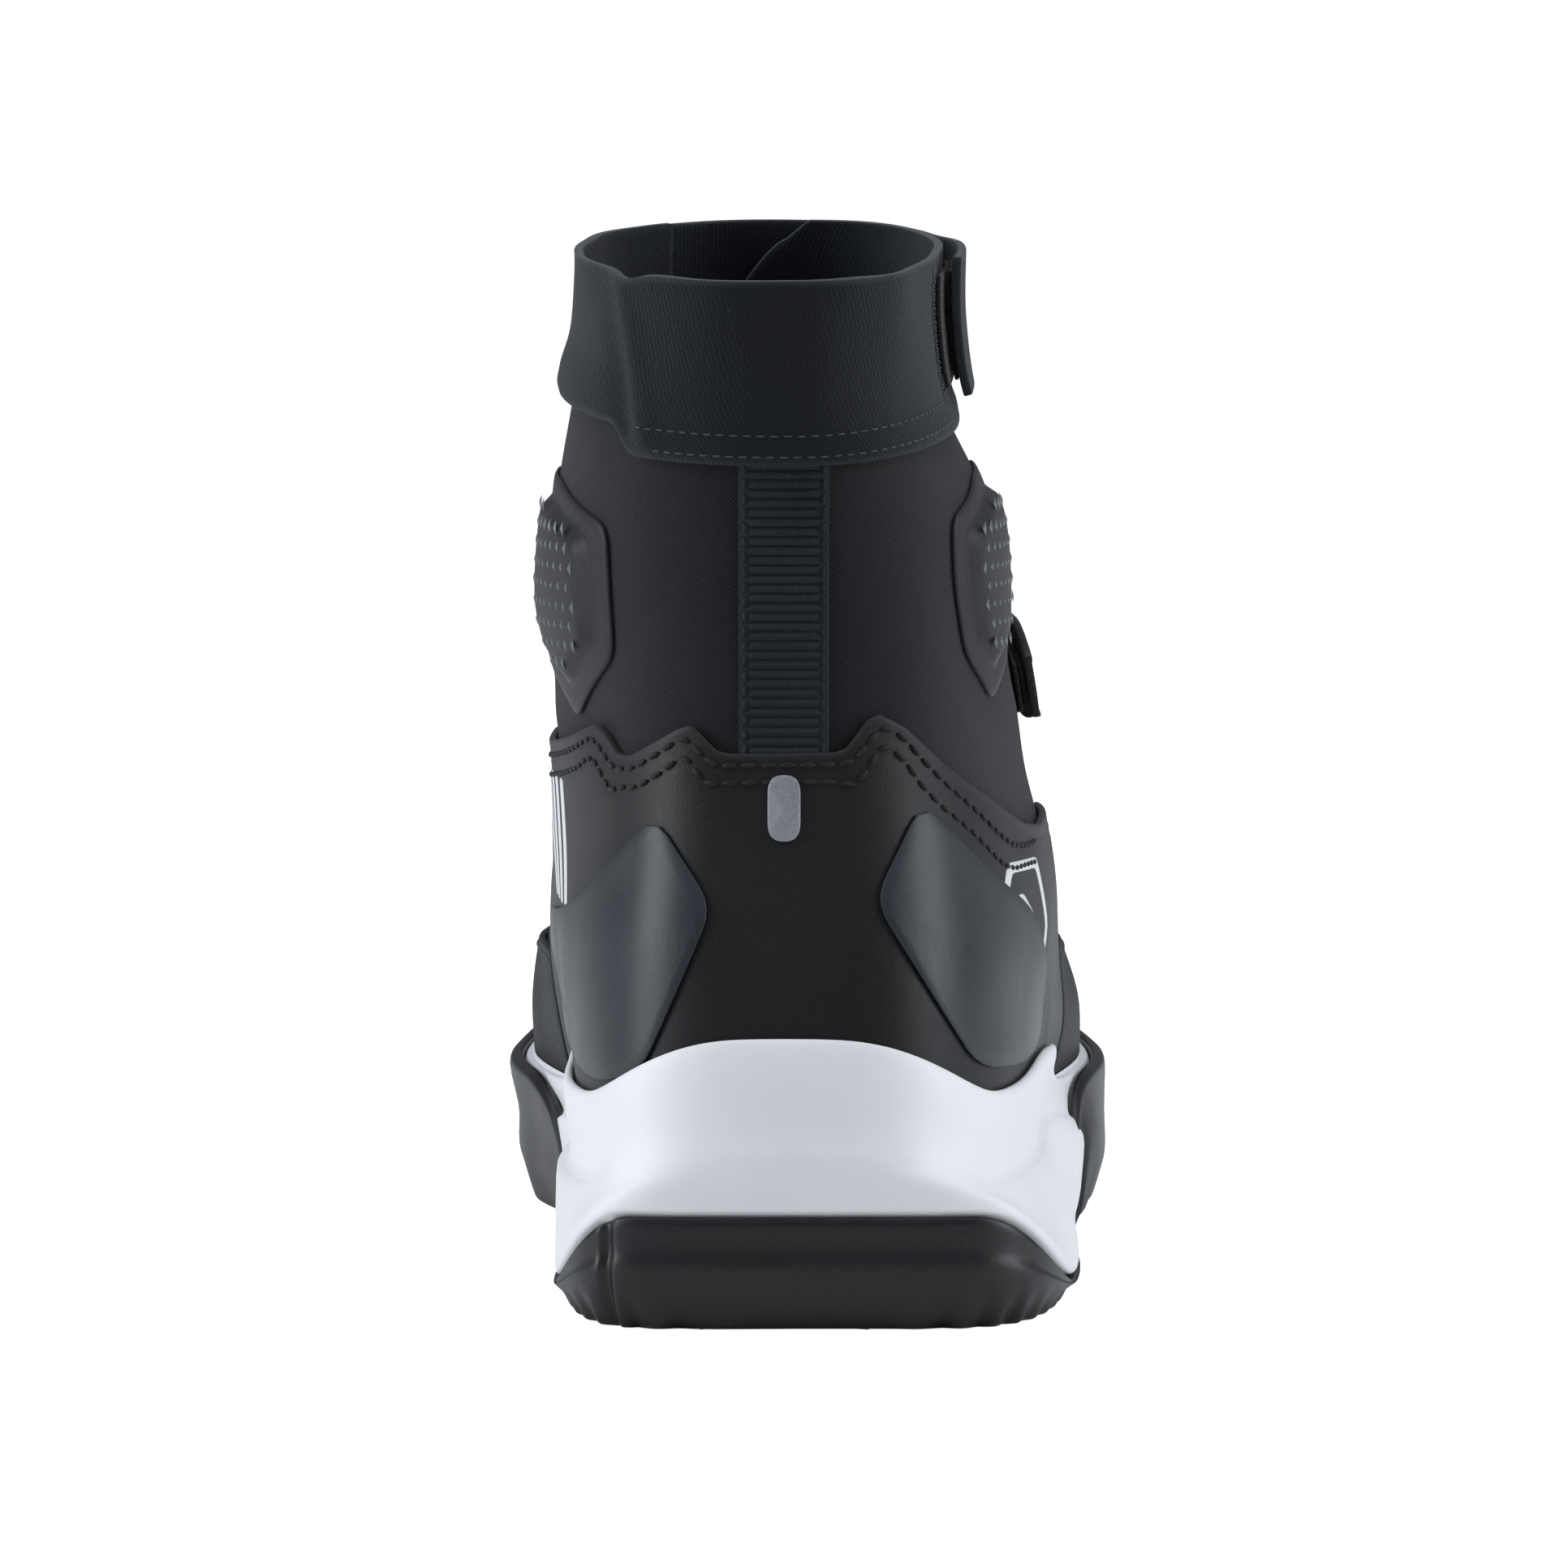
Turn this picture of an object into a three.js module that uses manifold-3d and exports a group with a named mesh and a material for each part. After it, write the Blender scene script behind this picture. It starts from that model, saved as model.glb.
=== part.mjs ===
// An ankle-high touring boot for the right foot, standing on its sole.
// +X is the outer side of the foot, +Y points to the toe, +Z is up, and every size is in millimetres.
// All uppers, linings and overlays are layers of one last: a stack of oval sections from the feather
// line, where the upper meets the sole, to the rim of the collar.
import * as THREE from "three";
import { mergeVertices } from "three/addons/utils/BufferGeometryUtils.js";
import Module from "manifold-3d";

const wasm = await Module();
wasm.setup();

// ---------------------------------------------------------------- driving sizes
const bootLength = 300;
const ballWidth = 110.5;
const bootHeight = 183;
const toeSpring = 12;
const clearance = 0.35;

// Layers, counted outwards from the face of the upper.
const upperWall = 1.6;
const overlayWall = 1.3;
const filmWall = 0.4;
const stiffenerWall = 1.1;
const foamWall = 4;
const tongueWall = 3;
const liningWall = 1.8;
const boardWall = 2;
const footbedWall = 5;
const midsoleLip = 1.4;
const rubberWall = 2.4;

// Sole
const lugDepth = 3.5;
const rubberPlate = 3;
const heelRubberHeight = 20;
const sideRubberHeight = 8;
const randHeight = 27;
const heelCupHeight = 49;
const sideCupHeight = 38;
const lugPitch = 17;
const lugLength = 10;
const shankWidth = 24;
const shankLength = 120;
const shankWall = 1.2;

// Webbing, guards, strap, laces and collar
const webbingWidth = 15;
const webbingWall = 1;
const reflectorWidth = 5.5;
const reflectorLength = 11;
const guardWall = 2.6;
const throatWidth = 42;
const eyestayWidth = 12;
const laceRadius = 1.2;
const laceRows = 3;
const loopRadius = 3.8;
const loopWire = 0.8;
const strapWall = 1.8;
const strapWidth = 24;
const patchWall = 0.7;
const collarWall = 1.6;
const collarDrop = 31;

// ---------------------------------------------------------------- the last
// One entry per section, drawn for a last 300 long, 110.5 wide and 183 high:
// back and front are the [y, z] of its ends, spring is its share of the toe spring, medial and lateral
// are half widths at the heel, waist, ball and toe, and round is the bluntness of heel and toe.
const drawn = { length: 300, width: 110.5, height: 183 };
const sections = [
  { back: [7, 24], front: [291, 24], spring: 1, medial: [41, 31, 47, 46], lateral: [44, 41, 56, 54], round: [0.5, 0.7] },
  { back: [4, 37], front: [292, 37], spring: 1, medial: [43, 35, 48, 48], lateral: [46, 46, 58.5, 57], round: [0.5, 0.7] },
  { back: [5, 50], front: [285, 50], spring: 0.7, medial: [43, 38.5, 47.5, 44], lateral: [46, 47, 57, 53], round: [0.52, 0.72] },
  { back: [8, 64], front: [266, 62], spring: 0.4, medial: [42.5, 39.5, 43, 39], lateral: [45.5, 47.5, 51, 47], round: [0.55, 0.75] },
  { back: [12, 80], front: [238, 70], spring: 0.15, medial: [41, 40, 37.5, 33], lateral: [44, 46, 43, 38], round: [0.6, 0.8] },
  { back: [16, 95], front: [208, 79], spring: 0, medial: [41, 40, 35.5, 31], lateral: [42, 43, 38, 34], round: [0.65, 0.8] },
  { back: [19, 110], front: [180, 91], spring: 0, medial: [40, 41, 36, 32], lateral: [40, 41, 36, 32], round: [0.7, 0.8] },
  { back: [20, 125], front: [155, 108], spring: 0, medial: [40, 41.5, 38, 34], lateral: [37, 38, 35, 32], round: [0.75, 0.8] },
  { back: [19, 140], front: [138, 130], spring: 0, medial: [39, 40, 37.5, 34], lateral: [35, 35.5, 33, 31], round: [0.8, 0.8] },
  { back: [17, 153], front: [129, 152], spring: 0, medial: [36.5, 37, 36, 34], lateral: [31, 31.5, 31, 30], round: [0.8, 0.8] },
  { back: [14, 165], front: [125, 169], spring: 0, medial: [35, 35, 35, 34], lateral: [28.5, 28.5, 28.5, 28], round: [0.8, 0.8] },
  { back: [12, 176], front: [123, 183], spring: 0, medial: [34.5, 34.5, 34.5, 34], lateral: [28.5, 28.5, 28.5, 28], round: [0.8, 0.8] },
];
const topLevel = sections.length - 1;
const widthStations = [0, 0.38, 0.7, 1];

const scaleY = bootLength / drawn.length;
const scaleX = ballWidth / drawn.width;
const scaleZ = bootHeight / drawn.height;
const degrees = THREE.MathUtils.degToRad;
const smooth = THREE.MathUtils.smoothstep;
const lerp = THREE.MathUtils.lerp;

/** A smooth curve through evenly spaced values. */
function through(values, t) {
  const k = Math.min(Math.max(Math.floor(t), 0), values.length - 2);
  const f = t - k;
  const [a, b, c, d] = [values[Math.max(k - 1, 0)], values[k], values[k + 1], values[Math.min(k + 2, values.length - 1)]];
  return b + 0.5 * f * (c - a + f * (2 * a - 5 * b + 4 * c - d + f * (3 * (b - c) + d - a)));
}

/** A value along the foot, eased between the heel, waist, ball and toe values. */
function along(widths, share) {
  const k = Math.max(0, widthStations.findIndex((s) => share < s) - 1);
  const last = share >= 1 ? widths.length - 2 : k;
  const f = smooth(share, widthStations[last], widthStations[last + 1]);
  return lerp(widths[last], widths[last + 1], f);
}

/** How far the sole has risen towards the toe at y. */
const springAt = (y) => toeSpring * Math.pow(Math.max(0, (y / bootLength - 0.63) / 0.37), 1.8);

/** The columns of the section table, each as a list of its values from the feather line up. */
const columns = Object.fromEntries(
  ["back", "front", "medial", "lateral", "round"].map((key) => [
    key,
    sections[0][key].map((_, n) => sections.map((section) => section[key][n])),
  ]),
);
const springShares = sections.map((section) => section.spring);

/** The face of the upper: angle 0 is the heel, a quarter turn is the outer side, half a turn the toe. */
function onLast(angle, level) {
  const value = (key, n) => through(columns[key][n], level);
  const share = (1 - Math.cos(angle)) / 2;
  const side = Math.sin(angle) >= 0 ? "lateral" : "medial";
  const widths = [0, 1, 2, 3].map((n) => value(side, n));
  const blunt = lerp(value("round", 0), value("round", 1), smooth(share, 0.1, 0.8));
  const y = lerp(value("back", 0), value("front", 0), share) * scaleY;
  const rise = through(springShares, level) * springAt(y);
  return new THREE.Vector3(
    Math.sign(Math.sin(angle)) * along(widths, share) * Math.pow(Math.abs(Math.sin(angle)), blunt) * scaleX,
    y,
    lerp(value("back", 1), value("front", 1), share) * scaleZ + rise,
  );
}

/** The outward direction of the upper's face. */
function outward(angle, level) {
  const [da, dl] = [0.02, 0.05];
  const at = Math.min(Math.max(level, dl), topLevel - dl);
  const round = onLast(angle + da, at).sub(onLast(angle - da, at));
  const up = onLast(angle, at + dl).sub(onLast(angle, at - dl));
  return round.cross(up).normalize();
}

/** A point that stands off the upper's face. */
const off = (angle, level, distance) => outward(angle, level).multiplyScalar(distance).add(onLast(angle, level));

/** The value between low and high at which a rising function reaches a target. */
function solve(rising, target, low, high) {
  for (let n = 0; n < 26; n++) {
    const middle = (low + high) / 2;
    if (rising(middle) < target) low = middle;
    else high = middle;
  }
  return (low + high) / 2;
}

/** The level at which the last reaches height z at an angle. */
const levelAt = (angle, z) => solve((level) => onLast(angle, level).z, z, 0, topLevel);

/** The angle and level of the point at depth y and height z on one side (+1 is the outer side). */
function onSide(side, y, z) {
  let angle = (side * Math.PI) / 2;
  let level = 0;
  for (let n = 0; n < 12; n++) {
    level = levelAt(angle, z);
    angle = side * solve((a) => onLast(side * a, level).y, y, 0, Math.PI);
  }
  return [angle, level];
}

/** The angle at which a level's back half reaches x. */
const angleAtBack = (level, x) => solve((a) => onLast(a, level).x, x, -Math.PI / 2, Math.PI / 2);

/** The angle, from the outer side to the inner side over the front, at which a level's front half reaches x. */
const angleAtFront = (level, x) => solve((a) => -onLast(a, level).x, -x, Math.PI / 2, 1.5 * Math.PI);

// ---------------------------------------------------------------- making meshes
const ringCount = 36;

/** The angles that all turned bodies share, closest at heel and toe, so that layers lie parallel on each other. */
const ringAngle = (n) => (n * 2 * Math.PI) / ringCount - 0.25 * Math.sin((n * 4 * Math.PI) / ringCount);

/** An angle range with the shared angles in between. */
function ringBetween(from, to) {
  const inside = [];
  for (let n = -ringCount; n <= 2 * ringCount; n++) {
    const angle = ringAngle(n);
    if (angle > from + 0.01 && angle < to - 0.01) inside.push(angle);
  }
  return [from, ...inside, to];
}

/** A closed body of revolution whose rings are then placed one by one: station(angle) gives each ring's point. */
function turned(stations) {
  const count = stations.length;
  const closed = stations[0] === stations[count - 1];
  const profile = stations.map((_, n) => new THREE.Vector2(!closed && (n === 0 || n === count - 1) ? 0 : 1 + n, n));
  const geometry = new THREE.LatheGeometry(profile, ringCount);
  const position = geometry.attributes.position;
  for (let k = 0; k < position.count; k++) {
    const turn = Math.floor(k / count) % ringCount;
    position.setXYZ(k, ...stations[k % count](ringAngle(turn)));
  }
  return cleaned(geometry);
}

/** The levels that all sleeves share: every half level near the sole, every level up the shaft. */
const shellLevels = [0, 0.5, 1, 1.5, 2, 3, 4, 5, 6, 7, 8, 9, 10, topLevel];

/** The middle of a level, between its ends. */
const middleOf = (level) => onLast(0, level).lerp(onLast(Math.PI, level), 0.5);

const swollen = new Map();

/** The last as a solid, swollen by a height; an overshoot of some levels carries it past both of its ends. */
function swollenLast(height, overshoot = 0) {
  const key = `${height},${overshoot}`;
  if (!swollen.has(key)) {
    const levels = overshoot > 0 ? [-overshoot, ...shellLevels, topLevel + overshoot] : shellLevels;
    const rings = levels.map((level) => (angle) => off(angle, level, height));
    const [first, last] = [levels[0], levels[levels.length - 1]];
    swollen.set(key, solidOf(turned([() => middleOf(first), ...rings, () => middleOf(last)])));
  }
  return swollen.get(key);
}

/** The whole upper as one sleeve between two heights over the last. */
const sleeve = (low, high) => swollenLast(high).subtract(swollenLast(low, 0.3));

/** A closed slab with columns along u, rows along v and its thickness along w, each from 0 to 1. */
function wrapped(columns, rows, place) {
  const geometry = new THREE.BoxGeometry(1, 1, 1, columns, rows, 1).translate(0.5, 0.5, 0.5);
  const position = geometry.attributes.position;
  for (let k = 0; k < position.count; k++) {
    position.setXYZ(k, ...place(position.getX(k), position.getY(k), position.getZ(k)));
  }
  return cleaned(geometry);
}

/** A slab lying on the last between two heights over it; region(u, v) gives the angle and level. */
const layer = (columns, rows, low, high, region) =>
  wrapped(columns, rows, (u, v, w) => off(...region(u, v), lerp(low, high, w)));

const knifeReach = 1.2;

/** A piece of a sleeve, cut out by its outline: region(u, v) gives the angle and level. */
function cutPiece(columns, rows, low, high, region) {
  const knife = layer(columns, rows, low - knifeReach, high + knifeReach, region);
  return geometryOf(sleeve(low, high).intersect(solidOf(knife)));
}

/** A round bar along a curve. */
function bar(curve, radius, sides, steps) {
  const round = new THREE.Shape(
    Array.from({ length: sides }, (_, n) => {
      const a = (n * 2 * Math.PI) / sides;
      return new THREE.Vector2(radius * Math.cos(a), radius * Math.sin(a));
    }),
  );
  return cleaned(new THREE.ExtrudeGeometry(round, { steps, bevelEnabled: false, extrudePath: curve }));
}

/** The same geometry with shared vertices, so that it is one closed mesh. */
function cleaned(geometry) {
  for (const name of ["normal", "uv"]) geometry.deleteAttribute(name);
  return mergeVertices(geometry, 1e-4);
}

/** A geometry as a solid that can be joined and cut. */
function solidOf(geometry) {
  const mesh = new wasm.Mesh({
    numProp: 3,
    vertProperties: new Float32Array(geometry.attributes.position.array),
    triVerts: new Uint32Array(geometry.index.array),
  });
  return new wasm.Manifold(mesh);
}

/** A solid as a geometry. */
function geometryOf(solid) {
  const mesh = solid.getMesh();
  return new THREE.BufferGeometry()
    .setAttribute("position", new THREE.BufferAttribute(mesh.vertProperties, 3))
    .setIndex(new THREE.BufferAttribute(mesh.triVerts, 1));
}

/** A height that depends on the side of the boot, as a value for an angle given as 0 at the heel, 1 at the toe. */
const depthShare = (angle) => (1 - Math.cos(angle)) / 2;

// ---------------------------------------------------------------- the sole's outline
const solePlan = { medial: [47, 37.5, 53.5, 49], lateral: [51, 50.5, 62.5, 56], round: [0.45, 0.72] };

/** The sole's widest outline, moved inwards by inset, at height z over the rising ground line. */
function footprint(angle, inset, z) {
  const at = (a) => {
    const share = depthShare(a);
    const widths = Math.sin(a) >= 0 ? solePlan.lateral : solePlan.medial;
    const blunt = lerp(...solePlan.round, smooth(share, 0.1, 0.8));
    const x = Math.sign(Math.sin(a)) * along(widths, share) * Math.pow(Math.abs(Math.sin(a)), blunt) * scaleX;
    return new THREE.Vector2(x, share * bootLength);
  };
  const side = at(angle + 0.02).sub(at(angle - 0.02)).normalize();
  const p = at(angle);
  const y = p.y - side.x * -inset;
  return new THREE.Vector3(p.x - side.y * inset, y, z + springAt(y));
}

/** A point of the inner sole's outline, drawn in towards its middle line, at height z over the feather line. */
function bed(angle, share, distance, z) {
  const edge = off(angle, 0, distance);
  const middle = lerp(onLast(0, 0).y, onLast(Math.PI, 0).y, 0.5);
  const y = lerp(middle, edge.y, share);
  return new THREE.Vector3(edge.x * share, y, sections[0].back[1] * scaleZ + z + springAt(y));
}

/** A point under the sole, drawn in towards its middle. */
function under(angle, share, inset, z) {
  const edge = footprint(angle, inset, 0);
  const y = lerp(bootLength / 2, edge.y, share);
  return new THREE.Vector3(edge.x * share, y, z + springAt(y));
}

const cupGap = overlayWall + 2 * clearance;
const randGap = cupGap + midsoleLip + clearance;
const plateTop = lugDepth + rubberPlate;
const rubberArc = degrees(52);
const cupArc = degrees(34);

/** 0 over the heel and waist, where the midsole shows, and 1 at the ball and toe, where the rubber hides it. */
const frontness = (angle) => smooth(depthShare(angle), 0.44, 0.56);

/** The height of the rubber's upper edge over the ground line. */
function rubberTop(angle) {
  const turn = Math.abs(Math.atan2(Math.sin(angle), Math.cos(angle)));
  const heel = (heelRubberHeight - sideRubberHeight) * (1 - smooth(turn, 0, rubberArc));
  return sideRubberHeight + heel + (randHeight - sideRubberHeight) * frontness(angle);
}

/** The height of the midsole's upper edge. */
function cupTop(angle) {
  const turn = Math.abs(Math.atan2(Math.sin(angle), Math.cos(angle)));
  const heel = lerp(heelCupHeight, sideCupHeight, smooth(turn, 0, cupArc));
  return lerp(heel, sections[0].back[1] + 2.4, smooth(depthShare(angle), 0.36, 0.52)) * scaleZ;
}

/** The level of a height over the rising feather line. */
const levelOver = (angle, z) =>
  solve((level) => onLast(angle, level).z - springAt(onLast(angle, level).y), z, 0, topLevel);

/** The rubber cup, swollen by a margin for the room that it takes out of its neighbours. */
function rubberCup(margin) {
  const wall = (a, inset, z) => footprint(a, inset - margin, z);
  const inside = (a, z) => footprint(a, rubberWall + margin, z);
  const top = (a) => rubberTop(a) + margin;
  const rand = (a, distance) => off(a, levelOver(a, top(a) * scaleZ), distance);
  const between = (a, p, q) => p.lerp(q, frontness(a));
  return turned([
    () => under(0, 0, 0, lugDepth - margin),
    (a) => under(a, 0.5, 5, lugDepth - margin),
    (a) => under(a, 1, 5 - margin, lugDepth - 0.5 - margin),
    (a) => wall(a, 1.4, lugDepth + 1 - margin),
    (a) => wall(a, 0, sideRubberHeight - 1),
    (a) => between(a, wall(a, 0.1, Math.max(rubberTop(a) - 1, sideRubberHeight)), wall(a, 0.6, 16)),
    (a) => between(a, wall(a, 0.5, top(a)), rand(a, randGap + rubberWall + margin)),
    (a) => between(a, inside(a, top(a)), rand(a, randGap - margin)),
    (a) => between(a, inside(a, Math.max(rubberTop(a) - 2, plateTop + 1)), inside(a, 16)),
    (a) => inside(a, plateTop + margin),
    (a) => under(a, 0.5, rubberWall + 4.4, plateTop + margin),
    () => under(0, 0, 0, plateTop + margin),
  ]);
}

/** The space that the upper and its overlays fill inside the sole, with room around them. */
function footSpace() {
  const top = 3;
  const walls = shellLevels.filter((level) => level <= top).map((level) => (a) => off(a, level, cupGap));
  return turned([
    () => bed(0, 0, 0, -clearance),
    (a) => bed(a, 0.5, cupGap, -clearance),
    (a) => bed(a, 1, cupGap, -clearance),
    ...walls,
    () => middleOf(top),
  ]);
}

function makeMidsole() {
  const bulge = (a) => lerp(rubberTop(a), cupTop(a), 0.55);
  const between = (a, p, q) => p.lerp(q, frontness(a));
  const block = turned([
    () => under(0, 0, 0, plateTop),
    (a) => under(a, 0.5, 5, plateTop),
    (a) => footprint(a, 0.4, plateTop),
    (a) => footprint(a, lerp(0.2, 1.8, frontness(a)), lerp(rubberTop(a) + 3, 14, frontness(a))),
    (a) => between(a, off(a, levelOver(a, bulge(a)), cupGap + 4.4), footprint(a, 3, 20)),
    (a) => off(a, levelOver(a, cupTop(a)), cupGap + midsoleLip),
    (a) => off(a, levelOver(a, cupTop(a)), -1),
    () => middleOf(1),
  ]);
  return geometryOf(solidOf(block).subtract(solidOf(rubberCup(clearance))).subtract(solidOf(footSpace())));
}

/** The tread as plan outlines: chevrons down the middle and slanted blocks along both edges. */
function treadBlocks() {
  const blocks = [];
  const outer = 0.58 * ballWidth;
  for (let y = lugLength; y < bootLength; y += lugPitch) {
    const half = 15;
    const dip = 7;
    blocks.push([[0, y], [half, y - dip], [half, y - dip + lugLength], [0, y + lugLength], [-half, y - dip + lugLength], [-half, y - dip]]);
    for (const side of [1, -1]) {
      const inner = half + 4;
      const near = [side * inner, y - dip];
      const far = [side * outer, y - 1.6 * dip];
      const strip = [near, far, [far[0], far[1] + lugLength], [near[0], near[1] + lugLength]];
      blocks.push(side > 0 ? strip : strip.reverse());
    }
  }
  return blocks;
}

function makeOutsole() {
  const treadLayer = turned([
    () => under(0, 0, 0, 0),
    (a) => under(a, 0.5, 5, 0),
    (a) => under(a, 1, 3.4, 0),
    (a) => under(a, 1, 1.9, lugDepth + 1.2),
    (a) => under(a, 0.5, 5, lugDepth + 1.2),
    () => under(0, 0, 0, lugDepth + 1.2),
  ]);
  const blocks = treadBlocks().map((outline) => {
    const shape = new THREE.Shape(outline.map(([x, y]) => new THREE.Vector2(x, y)));
    return solidOf(cleaned(new THREE.ExtrudeGeometry(shape, { depth: 40, bevelEnabled: false }).translate(0, 0, -10)));
  });
  const lugs = blocks.reduce((all, block) => all.add(block)).intersect(solidOf(treadLayer));
  const sipe = new THREE.BoxGeometry(1.4, 7, heelRubberHeight).translate(-0.25 * ballWidth, 2, heelRubberHeight / 2 + 5);
  return geometryOf(solidOf(rubberCup(0)).add(lugs).subtract(solidOf(cleaned(sipe))));
}

/** A plate that lies on the feather line and follows the toe spring. */
const bedPlate = (distance, low, high) =>
  turned([
    () => bed(0, 0, 0, low),
    (a) => bed(a, 0.5, distance, low),
    (a) => bed(a, 1, distance, low),
    (a) => bed(a, 1, distance, high),
    (a) => bed(a, 0.5, distance, high),
    () => bed(0, 0, 0, high),
  ]);

const boardLow = 0.2;
/** The board keeps further from a low wall, which curves more tightly over its thickness. */
const boardGap = clearance / scaleZ ** 3;
const liningLow = boardLow + boardWall + shankWall + 2 * clearance;
const footbedLow = liningLow + liningWall + clearance;

/** The spring-steel strip on the board, under the arch. */
function makeShank() {
  const low = sections[0].back[1] * scaleZ + boardLow + boardWall + clearance;
  const plan = new THREE.Shape();
  const [half, straight] = [shankWidth / 2, shankLength / 2 - shankWidth / 2];
  plan.absarc(0, straight, half, 0, Math.PI);
  plan.absarc(0, -straight, half, Math.PI, 2 * Math.PI);
  const middle = 0.35 * bootLength;
  return cleaned(
    new THREE.ExtrudeGeometry(plan, { depth: shankWall, bevelEnabled: false, curveSegments: 8 }).translate(0, middle, low),
  );
}

// ---------------------------------------------------------------- the upper
const vampLevel = 4.6;
const upperTop = 9.7;
const liningTop = 10;
const vampSeam = degrees(106);
const edgeGap = clearance;
const seamGap = 0.0042 * bootLength;

/** The angle of a quarter's front edge on one side: the vamp seam low down, the throat's edge above it. */
function quarterEdge(side, level) {
  const throat = angleAtFront(level, (side * throatWidth * scaleX) / 2);
  const throatTurn = side > 0 ? throat : 2 * Math.PI - throat;
  return lerp(vampSeam, throatTurn, smooth(level, vampLevel - 1.1, vampLevel));
}

/** The turn that moves a point by a distance along a level. */
const turnFor = (angle, level, distance) => (distance * 0.01) / onLast(angle + 0.005, level).distanceTo(onLast(angle - 0.005, level));

const seamLevels = Array.from({ length: 2 * topLevel }, (_, n) => (n + 1) / 2);
const seamRows = (low, high) => [low, ...seamLevels.filter((level) => level < high), high];
const pick = (list, share) => list[Math.round(share * (list.length - 1))];

function makeQuarter(side) {
  const rows = seamRows(-0.3, upperTop);
  return cutPiece(16, rows.length - 1, -upperWall, 0, (u, v) => {
    const level = pick(rows, v);
    const edge = quarterEdge(side, level);
    const start = turnFor(0.1, level, edgeGap / 2);
    return [side > 0 ? lerp(start, edge, u) : -lerp(edge, start, u), level];
  });
}

function makeVamp() {
  const rows = seamRows(-0.3, vampLevel - 0.1);
  return cutPiece(16, rows.length - 1, -upperWall, 0, (u, v) => {
    const level = pick(rows, v);
    const [low, high] = [quarterEdge(1, level), 2 * Math.PI - quarterEdge(-1, level)];
    return [lerp(low + turnFor(low, level, seamGap), high - turnFor(high, level, seamGap), u), level];
  });
}

/** The height over the upper's face of the lining's outer side, which makes room for the padding above the heel. */
const liningFace = (level) =>
  lerp(-(upperWall + stiffenerWall + 2 * clearance), -(upperWall + foamWall + 2 * clearance), smooth(level, 2.6, 4.3));

function makeLining() {
  const cup = (depth, floor, top) =>
    solidOf(
      turned([
        () => bed(0, 0, 0, floor),
        (a) => bed(a, 0.5, liningFace(0) - depth, floor),
        (a) => bed(a, 1, liningFace(0) - depth, floor),
        ...[0.7, ...shellLevels.filter((level) => level >= 1 && level < liningTop), top].map(
          (level) => (a) => off(a, level, liningFace(level) - depth),
        ),
        () => middleOf(top),
      ]),
    );
  return geometryOf(cup(0, liningLow, liningTop).subtract(cup(liningWall, liningLow + liningWall, liningTop + 0.3)));
}

/** A stiffener between upper and lining, from one angle to another. */
const makeStiffener = (from, to, lowLevel, highLevel) =>
  cutPiece(14, 4, -upperWall - clearance - stiffenerWall, -upperWall - clearance, (u, v) => [
    lerp(from, to, u),
    lerp(lowLevel, highLevel, v),
  ]);

function makeTongue() {
  return cutPiece(8, 14, -upperWall - clearance - tongueWall, -upperWall - clearance, (u, v) => {
    const level = lerp(vampLevel - 0.1, liningTop, v);
    const half = throatWidth / 2 + 7;
    return [lerp(angleAtFront(level, half), angleAtFront(level, -half), u), level];
  });
}

const overlayLow = clearance;
const overlayHigh = clearance + overlayWall;

/** The height of the heel overlay's stepped upper edge, by sideways distance from the heel's middle. */
function overlayTop(x) {
  const notch = 95;
  const crest = 102;
  const flank = x > 0 ? 84 : 91;
  const step = smooth(Math.abs(x), 9, 15);
  const fall = smooth(Math.abs(x), x > 0 ? 20 : 32, 42);
  return lerp(lerp(notch, crest, step), flank, fall) * scaleZ;
}

function makeHeelOverlay() {
  const reach = degrees(90);
  return cutPiece(30, 6, overlayLow, overlayHigh, (u, v) => {
    const angle = lerp(-reach, reach, u);
    const top = levelAt(angle, overlayTop(onLast(angle, 5).x / scaleX));
    return [angle, lerp(0.5, top, v)];
  });
}

/** A patch on one side whose front and back edges are straight between [y, z] corners, lowest row first. */
function sidePatch(side, rows, low, high, columns = 4) {
  const depths = (n) => rows.map((row) => row[n]);
  return cutPiece(columns, 2 * (rows.length - 1), low, high, (u, v) => {
    const at = v * (rows.length - 1);
    const k = Math.min(Math.floor(at), rows.length - 2);
    const f = at - k;
    const [z, back, front] = [0, 1, 2].map((n) => lerp(depths(n)[k], depths(n)[k + 1], f));
    return onSide(side, (side > 0 ? lerp(back, front, u) : lerp(front, back, u)) * scaleY, z * scaleZ);
  });
}

/** A thin grey film on the heel overlay: a slanted diamond whose rows are [z, near x, far x]. */
function heelFilm(side, rows) {
  return cutPiece(5, 8, overlayHigh + clearance, overlayHigh + clearance + filmWall, (u, v) => {
    const at = v * (rows.length - 1);
    const k = Math.min(Math.floor(at), rows.length - 2);
    const [z, near, far] = [0, 1, 2].map((n) => lerp(rows[k][n], rows[k + 1][n], at - k));
    const x = side > 0 ? lerp(near, far, u) : -lerp(far, near, u);
    let level = levelAt(0, z * scaleZ);
    let angle = 0;
    for (let n = 0; n < 8; n++) {
      angle = angleAtBack(level, x * scaleX);
      level = levelAt(angle, z * scaleZ);
    }
    return [angle, level];
  });
}

/** A strip on the middle line of the heel, between two heights. */
const heelStrip = (width, low, high, bottom, top, rows) =>
  cutPiece(3, rows, low, high, (u, v) => {
    const level = levelAt(0, lerp(bottom, top, v) * scaleZ);
    return [lerp(angleAtBack(level, -width / 2), angleAtBack(level, width / 2), u), level];
  });

/** The guard's outline: height, back edge and front edge of each row, lowest first. */
const guardRows = {
  medial: [[101.5, 50, 56], [108, 41, 68], [117, 36, 80], [132, 36, 84], [141, 52, 80]],
  lateral: [[103, 50, 56], [111, 41, 68], [120, 38, 78], [134, 36, 82], [142, 50, 78]],
};

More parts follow.
